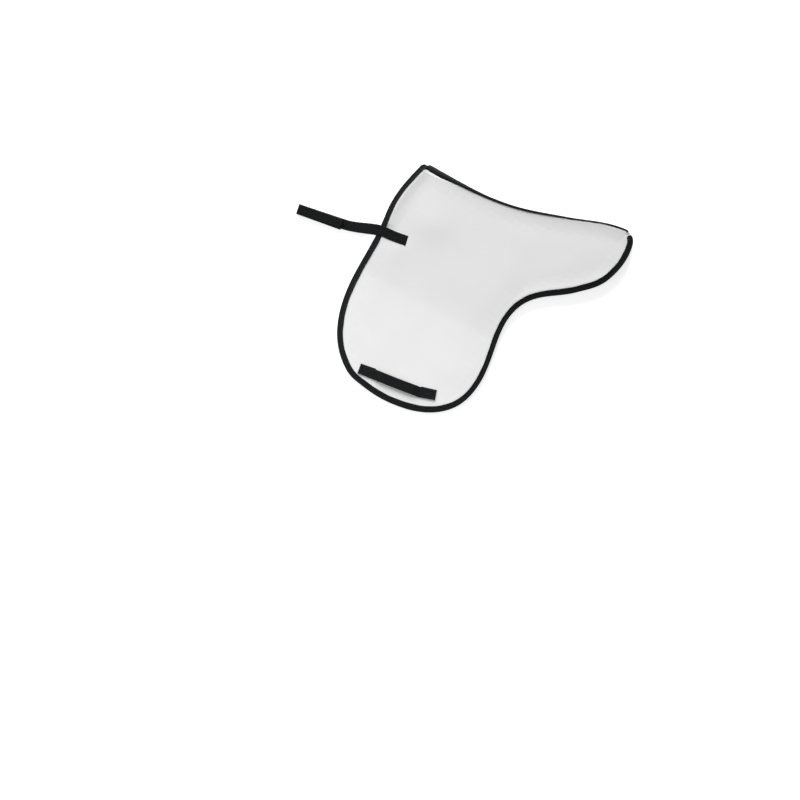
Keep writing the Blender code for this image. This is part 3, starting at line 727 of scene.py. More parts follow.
def round_nose(leg, rim, ceiling):
    """Section of the folded binding: distance in from the edge, and level."""
    thick = trim().binding_thickness
    inner, outer = binding_levels()
    nose = (outer - inner) / 2
    hollow = nose - thick
    middle = (outer + inner) / 2
    turns = np.linspace(math.pi / 2, 3 * math.pi / 2, 11)
    outside = [(nose * NOSE_SHARE * (1 + math.cos(a)), middle + nose * math.sin(a)) for a in turns]
    inside = [
        (thick + hollow * NOSE_SHARE * (1 + math.cos(a)), middle + hollow * math.sin(a))
        for a in turns[::-1]
    ]
    lane = np.linspace(leg, nose, 9)[:-1]
    over, under = outer_leg(lane, leg, rim, ceiling)
    lip = thick / 2
    upper_lip = [
        (leg, (over[0] + under[0]) / 2),
        (leg - 0.35 * LIP_THICKNESS, over[0] - 0.08 * LIP_THICKNESS),
    ]
    low = [(x, inner) for x in lane[:0:-1]]
    lower_lip = [(leg - lip * 0.3, inner + lip * 0.15), (leg, inner + lip), (leg - lip * 0.4, inner + thick)]
    top = list(zip(lane[1:], over[1:]))
    underside = list(zip(lane[::-1], under[::-1]))
    return np.array(upper_lip + top + outside + low + lower_lip + inside + underside)


def plan_frames(line):
    """Unit directions along an open line in plan, and inwards from it."""
    runs = unit(np.gradient(line, axis=0))
    return runs, np.stack([-runs[:, 1], runs[:, 0]], axis=1)


BINDING_STEP = 4.5 * MM
MITRE, MITRE_REACH = 0.287, 25.0 * MM
WITHERS_CORNER, CANTLE_CORNER, LIP_CORNER = 4.0 * MM, 6.0 * MM, 5.0 * MM
# Share of the way round, and how many millimetres wider the tape shows there
WIDTH_SHARES = (0.0, 0.08, 0.13, 0.42, 0.48, 0.54, 0.61, 0.68, 0.8, 0.9, 1.0)
WIDTH_CHANGES = (-2.0, -2.2, 0.0, 0.4, 1.6, 1.0, -1.2, -1.2, -0.6, 0.2, 0.6)


def binding_line(side):
    """The cut from the withers round to the cantle, with close points at its rounded end."""
    line, _ = cut_lines(side, BINDING_STEP)
    share = np.linspace(0.0, 2.0, 13)
    close = np.stack([np.interp(share, (0.0, 1.0, 2.0), line[-3:, axis]) for axis in (0, 1)], axis=1)
    return np.vstack([line[:-3], close])


def binding_rim(side, spot):
    """Height of the roll that the binding climbs: none below, where the pad lies on it."""
    return float(rim_height(*spot)) if side == LEFT else 0.0


def end_cut(reach, radius):
    """How much of a rounded corner is missing at a distance from the end."""
    blunt = 1.0 - np.clip(reach / radius, 0.0, 1.0)
    return radius * (1.0 - math.sqrt(1.0 - blunt * blunt))


def binding_piece(side):
    """Tape folded round the cut edge, mitred to the spine tape and rounded off at the cantle."""
    line = binding_line(side)
    travelled = line_lengths(line)
    rings = []
    for spot, run, way, at in zip(line, *plan_frames(line), travelled):
        left = travelled[-1] - at
        waver = 0.25 * math.sin(at * 61.0) + 0.2 * math.sin(at * 143.0 + 1.0)
        waver += float(np.interp(at / travelled[-1], WIDTH_SHARES, WIDTH_CHANGES))
        leg = trim().binding_width + MM * waver - end_cut(left, LIP_CORNER)
        section = round_nose(leg, binding_rim(side, spot), float(leg_ceiling(side, *spot)))
        inset = np.maximum(section[:, 0], end_cut(at, WITHERS_CORNER) + end_cut(left, CANTLE_CORNER))
        mitre = MITRE * np.clip(1.0 - at / MITRE_REACH, 0.0, 1.0) if side == LEFT else 0.0
        plan = spot + inset[:, None] * way - (section[:, 0] * mitre)[:, None] * run
        rings.append(to_frame(side, plan[:, 0], plan[:, 1], section[:, 1]))
    name = SIDE_NAMES[side]
    mesh = loft(rings)
    piece = dressed(f"{name}_binding_tape", mesh, binding_tape(), "black_binding_tape", f"{name}_binding")
    ride_half(piece, side)


SPINE_STEP = 4.0 * MM
TAPE_THICKNESS = 1.0 * MM
TAPE_PAST_BINDING, TAPE_PAST_SPINE = 0.5 * MM, 32.5 * MM
TAPE_TAPER = 85.0 * MM
TAPE_SLANT = 16.4 * MM
TAPE_SKEW, SKEW_LASTS = 0.49, (0, 45)
TAPE_SLIMS, SLIMMER = (0, 260), 1.6 * MM
TAPE_THINS, THINNER = (290, 130), 1.9 * MM
TAPE_BULGE = 0.4 * MM
UPPER_LEG, LOWER_LEG = 6.6 * MM, 6.0 * MM


def spine_height(line, x):
    """y of a half's spine edge at a place along it."""
    return float(np.interp(x, line[:, 0], line[:, 1]))


def seam_rows(side, line, at, leg, skew):
    """The tape's inner face on one half, from its edge up to the seam, as frame points."""
    edge = spine_height(line, at) - GAP
    press = float(seam_press(side, at))
    level = outer_level() - shape().crown * press + GAP
    if side == LEFT:
        level += seam_roll(at) * (1.0 - press)
    reaches = ((-leg, 0.0), (-0.4 * leg, 0.0), (-1.0 * MM, 0.2 * MM), (0.2 * MM, 1.5 * MM))
    return [to_frame(side, at + skew * reach, edge + reach, level - drop) for reach, drop in reaches]


def spine_tape_piece():
    """Tape over the seam, broad at the withers and narrow behind, from one outer face to the other."""
    lines = {side: cut_lines(side, SPINE_STEP)[1][::-1] for side in (LEFT, RIGHT)}
    start = TIPS[RIGHT][0] + trim().binding_width + TAPE_PAST_BINDING
    end = shape().spine_length + TAPE_PAST_SPINE - trim().binding_width
    rings = []
    for x in np.linspace(start, end, round((end - start) / SPINE_STEP)):
        share = (x - start) / TAPE_TAPER
        upper_x = x - TAPE_SLANT * max(0.0, 1.0 - share)
        thin = ramp(x, *TAPE_THINS)
        slimmer = SLIMMER * ramp(x - start, *TAPE_SLIMS) + THINNER * thin
        upper_leg = RIM_WIDTH + (UPPER_LEG - RIM_WIDTH) * ease(share) - slimmer
        skew = TAPE_SKEW * (1.0 - ramp(x - start, *SKEW_LASTS))
        upper = seam_rows(LEFT, lines[LEFT], upper_x, upper_leg, skew)
        lower = seam_rows(RIGHT, lines[RIGHT], x, LOWER_LEG, 0.0)[::-1]
        top, low = upper[-1], lower[0]
        reach = max(spine_height(line, (upper_x + x) / 2) for line in lines.values()) + pad_origin().y
        bulge = [top * 0.7 + low * 0.3, top * 0.3 + low * 0.7]
        for spot in bulge:
            spot[1] = max(reach, top[1], low[1]) + TAPE_BULGE * (1.0 - thin)
        inside = np.array(upper + bulge + lower)
        runs = unit(np.gradient(inside[:, 1:], axis=0))
        normal = np.stack([np.zeros(len(runs)), -runs[:, 1], runs[:, 0]], axis=1)
        outside = inside + normal * TAPE_THICKNESS * (1.0 - 0.5 * thin)
        rings.append(np.vstack([outside, inside[::-1]]))
    piece = dressed("spine_seam_tape", loft(rings), binding_tape(), "black_binding_tape", "spine_tape")
    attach(piece, "spine")


# Webbing

STACK_HEIGHT = 5.9 * MM
TAB_SKEWS = (math.radians(2.6), math.radians(-3.0))
TAB_BEND_SHARE = 0.52
KEEPER_RISE = 20
KINK_BEGINS = (-6, 12)
KEEPER_SAG = 1.8 * MM
WEBBING_LIFT = 0.2 * MM
HUMP, HUMP_AT, HUMP_REACH = 2.6 * MM, 8.0 * MM, 26.0 * MM
STRAP_LOWER, LOWERS_OVER = 10.0 * MM, (0, 83)
PATCH_LOWER, PATCH_LOWERS_OVER = 1.2 * MM, (0, 50)
CLIMB_BEGINS, CLIMB_ENDS = 15.0 * MM, 28.0 * MM
STRAP_LIES_AT, STRAP_FALLS_OVER = 80.0 * MM, (0, 75)
TAIL_SKEW = 0.026
TAIL_LIFT, TAIL_LIFTS_AT = 0.5 * MM, (-12, 12)


def webbing_piece(name, spots, widths, *replaced, start_along=0.0):
    """A strip of webbing along a line of frame points."""
    mesh = strip_mesh(spots, widths, trim().webbing_width, trim().webbing_thickness, start_along)
    return dressed(name, mesh, woven_webbing(), "black_webbing", *replaced)


def keeper_path(slack):
    """Side view of the keeper's middle line from end to end, and how many points are turned under."""
    half = trim().keeper_length / 2
    tab_end = half - trim().keeper_tab
    thick = trim().webbing_thickness
    bend = thick * TAB_BEND_SHARE
    turn_x, low = bend + thick / 2 - half, thick / 2
    high = low + 2 * bend
    turns = np.linspace(-math.pi / 2, math.pi / 2, 9)[1:-1]
    under = [(x, low) for x in np.linspace(-tab_end, turn_x, 12)]
    turn = [(turn_x - bend * math.cos(a), low + bend + bend * math.sin(a)) for a in turns]
    top = [(x, high) for x in np.linspace(turn_x, -tab_end - 2 * MM, 12)]
    rising = np.linspace(-tab_end, 0.0, 20)[:-1]
    arch = [(x, high + slack * ramp(x + tab_end, 0, KEEPER_RISE)) for x in rising]
    first = under + turn + top + arch
    return np.array(first + [(0.0, high + slack)] + [(-x, z) for x, z in first[::-1]]), len(under)


def keeper_place(x, y, skew=0.0):
    """Plan position on a girth keeper, whose one end is kinked, and its turn there."""
    half = trim().keeper_length / 2
    anchor = math.copysign(half, x)
    past_kink = x - half + trim().keeper_tab
    kink = KEEPER_KINK * float(ramp(past_kink, *KINK_BEGINS))
    sideways = past_kink * math.tan(kink) - KEEPER_SAG * float(ease(1.0 + x / half))
    middle = (anchor + (x - anchor) * math.cos(skew), (x - anchor) * math.sin(skew) + sideways)
    angle = kink + skew
    local = (middle[0] - y * math.sin(angle), middle[1] + y * math.cos(angle))
    cos_turn, sin_turn = math.cos(KEEPER_TURN), math.sin(KEEPER_TURN)
    offset = (local[0] * cos_turn - local[1] * sin_turn, local[0] * sin_turn + local[1] * cos_turn)
    return keeper_centre() + np.array(offset), KEEPER_TURN + angle


def keeper_piece(side):
    """Girth keeper: a strip with both ends turned under, a little askew, its middle loose."""
    path, under = keeper_path(trim().keeper_slack if side == LEFT else 0.0)
    base = outer_level() - KEEPER_PRESS[side] + GAP
    askew = np.zeros(len(path))
    askew[:under], askew[-under:] = TAB_SKEWS
    spots, widths = [], []
    for (x, z), skew in zip(path, askew):
        plan, angle = keeper_place(x, 0.0, skew)
        spots.append(to_frame(side, *plan, base + z))
        widths.append((-math.sin(angle), math.cos(angle), 0.0))
    name = SIDE_NAMES[side]
    piece = webbing_piece(f"{name}_girth_keeper_strap", spots, widths, f"{name}_girth_keeper")
    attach(piece, f"{name}_half")


def strap_height(side):
    """Frame height of the strap's middle line where it lies, in the rest pose."""
    thick = trim().webbing_thickness
    return STACK_HEIGHT + GAP + thick / 2 if side == LEFT else STACK_HEIGHT - thick / 2


def strap_sway(x):
    """Sideways shift of a front strap: a slight hump over the binding, then a slow S."""
    inward = x - strap_front_x()
    hump = HUMP * math.exp(-(((inward - HUMP_AT) / HUMP_REACH) ** 2))
    lower = STRAP_LOWER * ramp(-inward, *LOWERS_OVER) + PATCH_LOWER * ramp(inward, *PATCH_LOWERS_OVER)
    return hump - float(lower)


def strap_tip_x():
    """x where a front strap's fold begins."""
    return strap_front_x() - trim().strap_free + STACK_HEIGHT / 2


def front_strap_path(side):
    """Middle line of a front strap from its sewn end to its tip."""
    edge, sewn_end = strap_front_x(), strap_front_x() + STRAP_ON_PANEL
    above = trim().webbing_thickness / 2 + WEBBING_LIFT
    patch, crossing = outer_level() - STRAP_PRESS[side] + above, binding_levels()[1] + above
    knots_x = [edge, edge + CLIMB_BEGINS, edge + CLIMB_ENDS, sewn_end]
    leaves = to_frame(side, edge, -trim().strap_drop, crossing)[2]
    loose = edge - STRAP_LIES_AT
    xs = np.concatenate([
        np.linspace(sewn_end, edge, 26)[:-1],
        np.linspace(edge, loose, 28)[:-1],
        np.linspace(loose, strap_tip_x(), 34),
    ])
    origin = pad_origin()
    spots = []
    for x in xs:
        y = -trim().strap_drop + strap_sway(x)
        if x >= edge:
            level = float(np.interp(x, knots_x, [crossing, crossing, patch, patch]))
            height = to_frame(side, x, y, level)[2]
        else:
            height = leaves + (strap_height(side) - leaves) * float(ramp(edge - x, *STRAP_FALLS_OVER))
        spots.append((x + origin.x, y + origin.y, height))
    spots = np.array(spots)
    for _ in range(3):
        spots[1:-1, 2] = (spots[:-2, 2] + 2 * spots[1:-1, 2] + spots[2:, 2]) / 4
    return spots


def front_strap_piece(side):
    """The webbing from its sewn end over the binding to the tip where it folds back."""
    spots = front_strap_path(side)
    runs = np.gradient(spots, axis=0)
    widths = np.stack([-runs[:, 1], runs[:, 0], np.zeros(len(runs))], axis=1)
    name = SIDE_NAMES[side]
    solids = (f"{name}_strap_anchor", f"{name}_front_strap")
    piece = webbing_piece(f"{name}_front_strap_webbing", spots, widths, *solids)
    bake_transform(piece)


def strap_tail_piece(side):
    """The fold at the tip and the end that lies back along the strap."""
    low, tip = strap_height(side), strap_tip_x()
    radius = (STACK_HEIGHT - trim().webbing_thickness) / 2
    back_end = strap_front_x() - trim().strap_free + trim().tail_length
    turns = np.linspace(math.pi / 2, 3 * math.pi / 2, 13)
    fold = [(tip + radius * math.cos(a), low + side * radius * (1 - math.sin(a))) for a in turns]
    tail = [(x, low + side * 2 * radius) for x in np.linspace(tip, back_end, 36)[1:]]
    x, height = np.array(fold + tail).T
    y = -trim().strap_drop - STRAP_LOWER - TAIL_SKEW * np.maximum(x - tip, 0.0)
    if side == LEFT:
        height = height + TAIL_LIFT * ramp(x - back_end, *TAIL_LIFTS_AT)
    origin = pad_origin()
    spots = np.stack([x + origin.x, y + origin.y, height], axis=1)
    name = SIDE_NAMES[side]
    piece = webbing_piece(
        f"{name}_strap_tail_webbing", spots, np.tile((0.0, 1.0, 0.0), (len(spots), 1)),
        f"{name}_strap_fold", f"{name}_strap_tail", start_along=STRAP_ON_PANEL + trim().strap_free,
    )
    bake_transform(piece)


def fastener_strips(side):
    """Soft loops on the strap and hooks on its tail, facing each other."""
    name = SIDE_NAMES[side]
    for kind, body, finish in (("loop", "strap", loop_pile()), ("hook", "tail", hook_tape())):
        low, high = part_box(f"{name}_{kind}_strip")
        middle = [(low[axis] + high[axis]) / 2 for axis in (1, 2)]
        spots = [(x, *middle) for x in np.linspace(low[0], high[0], 24)]
        widths = np.tile((0.0, 1.0, 0.0), (len(spots), 1))
        mesh = strip_mesh(spots, widths, high[1] - low[1], high[2] - low[2])
        solid = f"{name}_{kind}_strip"
        piece = dressed(f"{name}_{kind}_fastener", mesh, finish, "black_hook_and_loop", solid)
        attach(piece, f"{name}_{body}")


# Stitching

THREAD_LIFT = 0.05 * MM
STITCH_SHARE = 0.82
ROW_FROM_LIP = 2.6 * MM
BOX_INSET = 3.0 * MM
STRAP_BOX = (70.5 * MM, 34.0 * MM)
TAB_ENDS = (4.0 * MM, 5.0 * MM)
STITCH_FLATNESS = 0.8


def add_stitch(work, bead, start, end, normal):
    """The bead drawn out between two points and flattened against the tape."""
    run = end - start
    length = run.length
    run.normalize()
    cross = normal.cross(run).normalized()
    up = run.cross(cross).normalized()
    thick = trim().thread_thickness
    turn = Matrix((run, cross, up)).transposed().to_4x4()
    size = Matrix.Diagonal((length, thick, thick * STITCH_FLATNESS, 1.0))
    placed = bead.copy()
    placed.transform(Matrix.Translation((start + end) / 2) @ turn @ size)
    carrier = mesh_from(placed, "stitch")
    work.from_mesh(carrier)
    bpy.data.meshes.remove(carrier)


def stitch_run(work, spots, normal):
    """Stitches one after another along a line of frame points."""
    spots = np.asarray(spots, float)
    lengths = line_lengths(spots)
    pitch = trim().stitch_length
    bead = bmesh.new()
    bmesh.ops.create_uvsphere(bead, u_segments=6, v_segments=5, radius=0.5)
    for number in range(max(1, int(lengths[-1] / pitch))):
        ends = []
        for at in (number * pitch, (number + STITCH_SHARE) * pitch):
            ends.append(Vector([float(np.interp(at, lengths, spots[:, axis])) for axis in range(3)]))
        add_stitch(work, bead, *ends, Vector(normal))
    bead.free()


def stitch_piece(name, work):
    """The stitches of one seam as a piece."""
    piece = finish_piece(name, mesh_from(work, name), sewing_thread())
    return piece


def binding_stitches(side):
    """The row that holds the binding, near its inner edge, on both faces."""
    line = binding_line(side)
    width = trim().binding_width
    row = width - ROW_FROM_LIP
    plan = line + plan_frames(line)[1] * row
    above = [
        float(outer_leg(row, width, binding_rim(side, spot), leg_ceiling(side, *spot))[0]) for spot in line
    ]
    work = bmesh.new()
    for level, sign in ((np.array(above) + THREAD_LIFT, 1.0), (binding_levels()[0] - THREAD_LIFT, -1.0)):
        spots = to_frame(side, plan[:, 0], plan[:, 1], level)
        stitch_run(work, spots[1:-1], (0.0, 0.0, sign * side))
    piece = stitch_piece(f"{SIDE_NAMES[side]}_binding_stitches", work)
    ride_half(piece, side)


def box_corners(outer_x, inner_x):
    """Corners of a sewn box on a strip, along and across it."""
    reach = trim().webbing_width / 2 - BOX_INSET
    return (outer_x, -reach), (inner_x, -reach), (inner_x, reach), (outer_x, reach)


def box_stitch(work, corners, side):
    """A sewn square with a cross in it."""
    for start, end in ((0, 1), (1, 2), (2, 3), (3, 0), (0, 2), (1, 3)):
        share = np.linspace(0.0, 1.0, 12)[:, None]
        spots = corners[start] * (1 - share) + corners[end] * share
        stitch_run(work, spots, (0.0, 0.0, float(side)))


def keeper_stitches(side):
    """Boxes on the girth keeper's two ends."""
    half = trim().keeper_length / 2
    level = outer_level() - KEEPER_PRESS[side] + GAP + trim().webbing_thickness * 2.04 + THREAD_LIFT
    work = bmesh.new()
    for end in (-1, 1):
        outer_x, inner_x = half - TAB_ENDS[0], half - trim().keeper_tab + TAB_ENDS[1]
        places = box_corners(end * outer_x, end * inner_x)
        corners = [to_frame(side, *keeper_place(x, y)[0], level) for x, y in places]
        box_stitch(work, corners, side)
    name = SIDE_NAMES[side]
    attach(stitch_piece(f"{name}_keeper_stitches", work), f"{name}_half")


def strap_stitches(side):
    """A box on the front strap's sewn end."""
    path = front_strap_path(side)
    origin = pad_origin()
    drop = -trim().strap_drop
    lift = side * (trim().webbing_thickness / 2 + THREAD_LIFT)
    corners = []
    for past, y in box_corners(*STRAP_BOX):
        x = strap_front_x() + past
        height = float(np.interp(-(x + origin.x), -path[:, 0], path[:, 2])) + lift
        if side == LEFT:
            height += float(fold_lift(x, drop + y) - fold_lift(x, drop))
        corners.append(np.array([x + origin.x, y + drop + origin.y, height]))
    work = bmesh.new()
    box_stitch(work, corners, side)
    name = SIDE_NAMES[side]
    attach(stitch_piece(f"{name}_strap_stitches", work), f"{name}_half")


# Materials

def new_material(name, values):
    """A material with the values that are the same all over it."""
    material = bpy.data.materials.new(name)
    material.use_nodes = True
    shader = material.node_tree.nodes["Principled BSDF"]
    feed(material, shader, values)
    return material, shader


def feed(owner, node, inputs):
    """Link or set inputs of a node in a material or world."""
    for key, value in inputs.items():
        if isinstance(value, bpy.types.NodeSocket):
            owner.node_tree.links.new(value, node.inputs[key])
        else:
            node.inputs[key].default_value = value


def add_node(owner, kind, settings=None, inputs=None):
    """A node with its settings, and its inputs linked or set."""
    node = owner.node_tree.nodes.new(kind)
    for key, value in (settings or {}).items():
        setattr(node, key, value)
    feed(owner, node, inputs or {})
    return node


def calculated(owner, operation, *values):
    """The result of one sum on sockets or numbers."""
    return add_node(owner, "ShaderNodeMath", {"operation": operation}, dict(enumerate(values))).outputs[0]


def mix(material, factor, first, second, blend="MIX"):
    """A mix of two colours, each a socket or red, green and blue."""
    first, second = [c if isinstance(c, bpy.types.NodeSocket) else (*c, 1.0) for c in (first, second)]
    settings = {"data_type": "RGBA", "blend_type": blend}
    inputs = {0: factor, 6: first, 7: second}
    return add_node(material, "ShaderNodeMix", settings, inputs).outputs[2]


def object_place(material):
    """Coordinates in metres that move with the piece."""
    return add_node(material, "ShaderNodeTexCoord").outputs["Object"]


def noise(material, scale, detail, roughness=0.5):
    """Soft random patches, as a share from none to one."""
    inputs = {"Vector": object_place(material), "Scale": scale, "Detail": detail, "Roughness": roughness}
    return add_node(material, "ShaderNodeTexNoise", {}, inputs).outputs["Fac"]


def cell_distance(material, pitch, randomness=1.0):
    """Distance to the nearest of many points, which lie about a pitch apart."""
    inputs = {"Vector": object_place(material), "Scale": 1.0 / pitch, "Randomness": randomness}
    return add_node(material, "ShaderNodeTexVoronoi", {"feature": "F1"}, inputs).outputs["Distance"]


def waves(material, place, axis, pitch, distortion, detail_scale=1.0):
    """Even ridges across one axis, as a height from none to one."""
    settings = {"wave_type": "BANDS", "bands_direction": axis, "wave_profile": "SIN"}
    inputs = {
        "Vector": place,
        "Scale": math.tau / 20 / pitch,
        "Distortion": distortion,
        "Detail": 1.0,
        "Detail Scale": detail_scale,
    }
    return add_node(material, "ShaderNodeTexWave", settings, inputs).outputs["Fac"]


def ridged(material, shader, height, strength, distance):
    """Small relief in the shader's normal."""
    inputs = {"Height": height, "Strength": strength, "Distance": distance}
    bump = add_node(material, "ShaderNodeBump", {}, inputs)
    feed(material, shader, {"Normal": bump.outputs["Normal"]})


def scaled(colour, factor):
    """A darker or paler shade of a colour."""
    return tuple(min(1.0, c * factor) for c in colour)


# The real knit is about 1 mm, and it is drawn larger so that it shows in a close view
KNIT_PITCH = 2.4 * MM


@functools.cache
def laminated_jersey():
    """Polyester jersey glued to foam: an even, matt white face with a faint knit and soft unevenness."""
    material, shader = new_material("white_laminated_polyester_jersey", {
        "Roughness": 0.78,
        "IOR": 1.5,
        "Specular IOR Level": 0.3,
        "Sheen Weight": 0.12,
        "Sheen Roughness": 0.5,
    })
    place = object_place(material)
    knit = calculated(material, "MULTIPLY", *[waves(material, place, a, KNIT_PITCH, 0.6, 2.0) for a in "XY"])
    cover = tuple(colours().cover)
    tone = mix(material, noise(material, 9.0, 3.0, 0.55), scaled(cover, 0.965), scaled(cover, 1.02))
    # Painted shade: the knit's hollows are coloured a little darker, following the knit's height.
    thread = mix(material, knit, (0.965, 0.965, 0.965), (1.0, 1.0, 1.0))
    feed(material, shader, {"Base Color": mix(material, 1.0, tone, thread, "MULTIPLY")})
    height = calculated(material, "MULTIPLY_ADD", noise(material, 420.0, 2.0), 0.5, knit)
    ridged(material, shader, height, 0.22, 0.25 * MM)
    return material


@functools.cache
def lining_knit():
    """Spacer knit on the horse's side: rows of small open cells with painted shade in them, duller than the
    cover.
    """
    values = {"Roughness": 0.85, "Specular IOR Level": 0.25, "Sheen Weight": 0.1}
    material, shader = new_material("white_spacer_knit", values)
    cells = cell_distance(material, 3.2 * MM, 0.25)
    hole = add_node(
        material, "ShaderNodeMapRange", {"interpolation_type": "SMOOTHSTEP"},
        {"Value": cells, "From Min": 0.12, "From Max": 0.42},
    ).outputs["Result"]
    lining = tuple(colours().lining)
    # Painted shade: the open cells are coloured darker than the knit around them.
    feed(material, shader, {"Base Color": mix(material, hole, scaled(lining, 0.72), lining)})
    ridged(material, shader, hole, 0.5, 0.4 * MM)
    return material


def woven_height(material, lane_pitch, rib_pitch, slant):
    """Ribs on a tape's own map: slanted ridges broken into threads, as a height."""
    tape = add_node(material, "ShaderNodeUVMap", {"uv_map": "tape"}).outputs["UV"]
    turn = {"Vector": tape, "Rotation": (0.0, 0.0, slant)}
    turned = add_node(material, "ShaderNodeMapping", {"vector_type": "POINT"}, turn).outputs["Vector"]
    ribs = waves(material, turned, "X", rib_pitch, 0.25)
    lanes = waves(material, tape, "Y", lane_pitch, 0.2)
    return calculated(material, "MULTIPLY_ADD", lanes, 0.45, ribs)


def woven_finish(name, colour, lane_pitch, rib_pitch, slant, depth, roughness):
    """A black woven strip: painted shade in the grooves, painted highlight on the ridges, and a trace of
    lint.
    """
    material, shader = new_material(name, {
        "Roughness": roughness,
        "Specular IOR Level": 0.12,
        "Sheen Weight": 0.015,
        "Sheen Roughness": 0.4,
    })
    height = woven_height(material, lane_pitch, rib_pitch, slant)
    # Painted shade and highlight: the weave's grooves are coloured darker and its ridges paler, following
    # the bump's height.
    painted_weave_shade = mix(material, height, scaled(colour, 0.45), scaled(colour, 1.35))
    lint = {"Value": noise(material, 55.0, 5.0, 0.7), "From Min": 0.5, "From Max": 0.9, "To Max": 0.12}
    faint = add_node(material, "ShaderNodeMapRange", {}, lint).outputs["Result"]
    feed(material, shader, {"Base Color": mix(material, faint, painted_weave_shade, scaled(colour, 3.2))})
    ridged(material, shader, height, 0.6, depth)
    return material


@functools.cache
def binding_tape():
    """Polyester twill tape: fine slanted ribs that break its edge's highlight into short lines."""
    colour, slant = tuple(colours().tape), math.radians(38)
    return woven_finish("black_polyester_twill_tape", colour, 2.4 * MM, 1.6 * MM, slant, 0.25 * MM, 0.62)


@functools.cache
def woven_webbing():
    """Polypropylene webbing: coarse ribs across the strip in lengthwise lanes, with a dull gloss."""
    colour, slant = tuple(colours().webbing), math.radians(6)
    return woven_finish("black_polypropylene_webbing", colour, 3.1 * MM, 1.9 * MM, slant, 0.45 * MM, 0.52)


def pile_finish(name, pitch, strength, roughness):
    """A hook-and-loop face: a dense nap, with painted shade in its dips and painted highlight on its tops.
    """
    material, shader = new_material(name, {"Roughness": roughness, "Sheen Weight": 0.25})
    nap = cell_distance(material, pitch)
    colour = tuple(colours().fastener)
    # Painted shade and highlight: the nap's dips are coloured darker and its tops paler, following the
    # bump's height.
    feed(material, shader, {"Base Color": mix(material, nap, scaled(colour, 0.5), scaled(colour, 1.9))})
    ridged(material, shader, nap, strength, 0.5 * MM)
    return material


@functools.cache
def loop_pile():
    """Nylon loop tape: a soft felt of tiny loops, about 0.8 mm apart."""
    return pile_finish("black_nylon_loop_pile", 0.8 * MM, 0.7, 0.95)


@functools.cache
def hook_tape():
    """Nylon hook tape: rows of stiff hooks about 1.4 mm apart, with small glints."""
    return pile_finish("black_nylon_hook_tape", 1.4 * MM, 1.0, 0.5)


@functools.cache
def sewing_thread():
    """Bonded polyester thread: smooth and a little glossier than the tape it sinks into."""
    values = {"Roughness": 0.42, "Specular IOR Level": 0.5}
    material, shader = new_material("black_polyester_thread", values)
    twist = noise(material, 1500.0, 1.0)
    colour = tuple(colours().thread)
    feed(material, shader, {"Base Color": mix(material, twist, scaled(colour, 0.7), scaled(colour, 1.4))})
    return material


def ray_share(owner, *kinds):
    """One for the rays of these kinds, and none for all others."""
    rays = add_node(owner, "ShaderNodeLightPath").outputs
    shares = [rays[f"Is {kind} Ray"] for kind in kinds]
    return functools.reduce(lambda first, second: calculated(owner, "MAXIMUM", first, second), shares)


def studio_floor():
    """Matt white paper: pure white to the camera, with the pad's soft shadow kept."""
    material, shader = new_material("matt_white_paper", {
        "Base Color": (*colours().floor, 1.0),
        "Roughness": 0.9,
        "Specular IOR Level": 0.1,
    })
    seen = ray_share(material, "Camera", "Glossy", "Transmission")
    strength = calculated(material, "MULTIPLY", seen, FLOOR_GLOW)
    light = {"Color": (1.0, 1.0, 1.0, 1.0), "Strength": strength}
    glow = add_node(material, "ShaderNodeEmission", {}, light)
    both = add_node(material, "ShaderNodeAddShader", {}, {0: shader.outputs[0], 1: glow.outputs[0]})
    feed(material, material.node_tree.nodes["Material Output"], {"Surface": both.outputs[0]})
    return material


# Stage

WINDOW = (-0.5, 0.86, 0.455)
SOFTBOX, BELOW_SOFTBOX = (-0.16, -0.38, 0.8), (-0.16, -0.38, 0.0)
FLOOR_GAP = 0.2 * MM
FLOOR_GLOW = 0.68
DOME_LEVEL = 0.2
PHOTO_WIDTH = 1.948
PHOTO_TURN = math.radians(18.41)
PHOTO_CENTRE = (129.8 * MM, -564.4 * MM)
LENS = 100.0
SENSOR = 36.0


def add_light(name, kind, place, aim, **settings):
    """A lamp at a place, turned towards its aim."""
    lamp = bpy.data.lights.new(name, kind)
    for key, value in settings.items():
        setattr(lamp, key, value)
    holder = bpy.data.objects.new(name, lamp)
    holder.location = place
    holder.rotation_euler = (Vector(aim) - Vector(place)).to_track_quat("-Z", "Y").to_euler()
    bpy.context.scene.collection.objects.link(holder)


def add_floor():
    work = bmesh.new()
    bmesh.ops.create_grid(work, x_segments=8, y_segments=8, size=6.0)
    bmesh.ops.translate(work, verts=work.verts, vec=(0.0, 0.0, cad_box[0][2] - FLOOR_GAP))
    finish_piece("studio_floor", mesh_from(work, "studio_floor"), studio_floor())


def add_camera():
    """Straight down through a long lens, turned as in the photograph."""
    camera = bpy.data.cameras.new("photo_camera")
    camera.lens = LENS
    camera.sensor_width = SENSOR
    camera.sensor_fit = "HORIZONTAL"
    camera.clip_end = 50.0
    holder = bpy.data.objects.new("photo_camera", camera)
    origin = pad_origin()
    height = PHOTO_WIDTH * LENS / SENSOR
    holder.location = (origin.x + PHOTO_CENTRE[0], origin.y + PHOTO_CENTRE[1], height)
    holder.rotation_euler = (0.0, 0.0, PHOTO_TURN)
    bpy.context.scene.collection.objects.link(holder)
    bpy.context.scene.camera = holder


def light_world():
    """Even white dome, which the camera sees as pure white."""
    world = bpy.data.worlds.new("soft_studio")
    bpy.context.scene.world = world
    world.use_nodes = True
    level = {"Value": ray_share(world, "Camera", "Transmission"), "To Min": DOME_LEVEL, "To Max": 1.0}
    strength = add_node(world, "ShaderNodeMapRange", {}, level).outputs["Result"]
    dome = {"Strength": strength, "Color": (1.0, 1.0, 1.0, 1.0)}
    feed(world, world.node_tree.nodes["Background"], dome)


# Operators

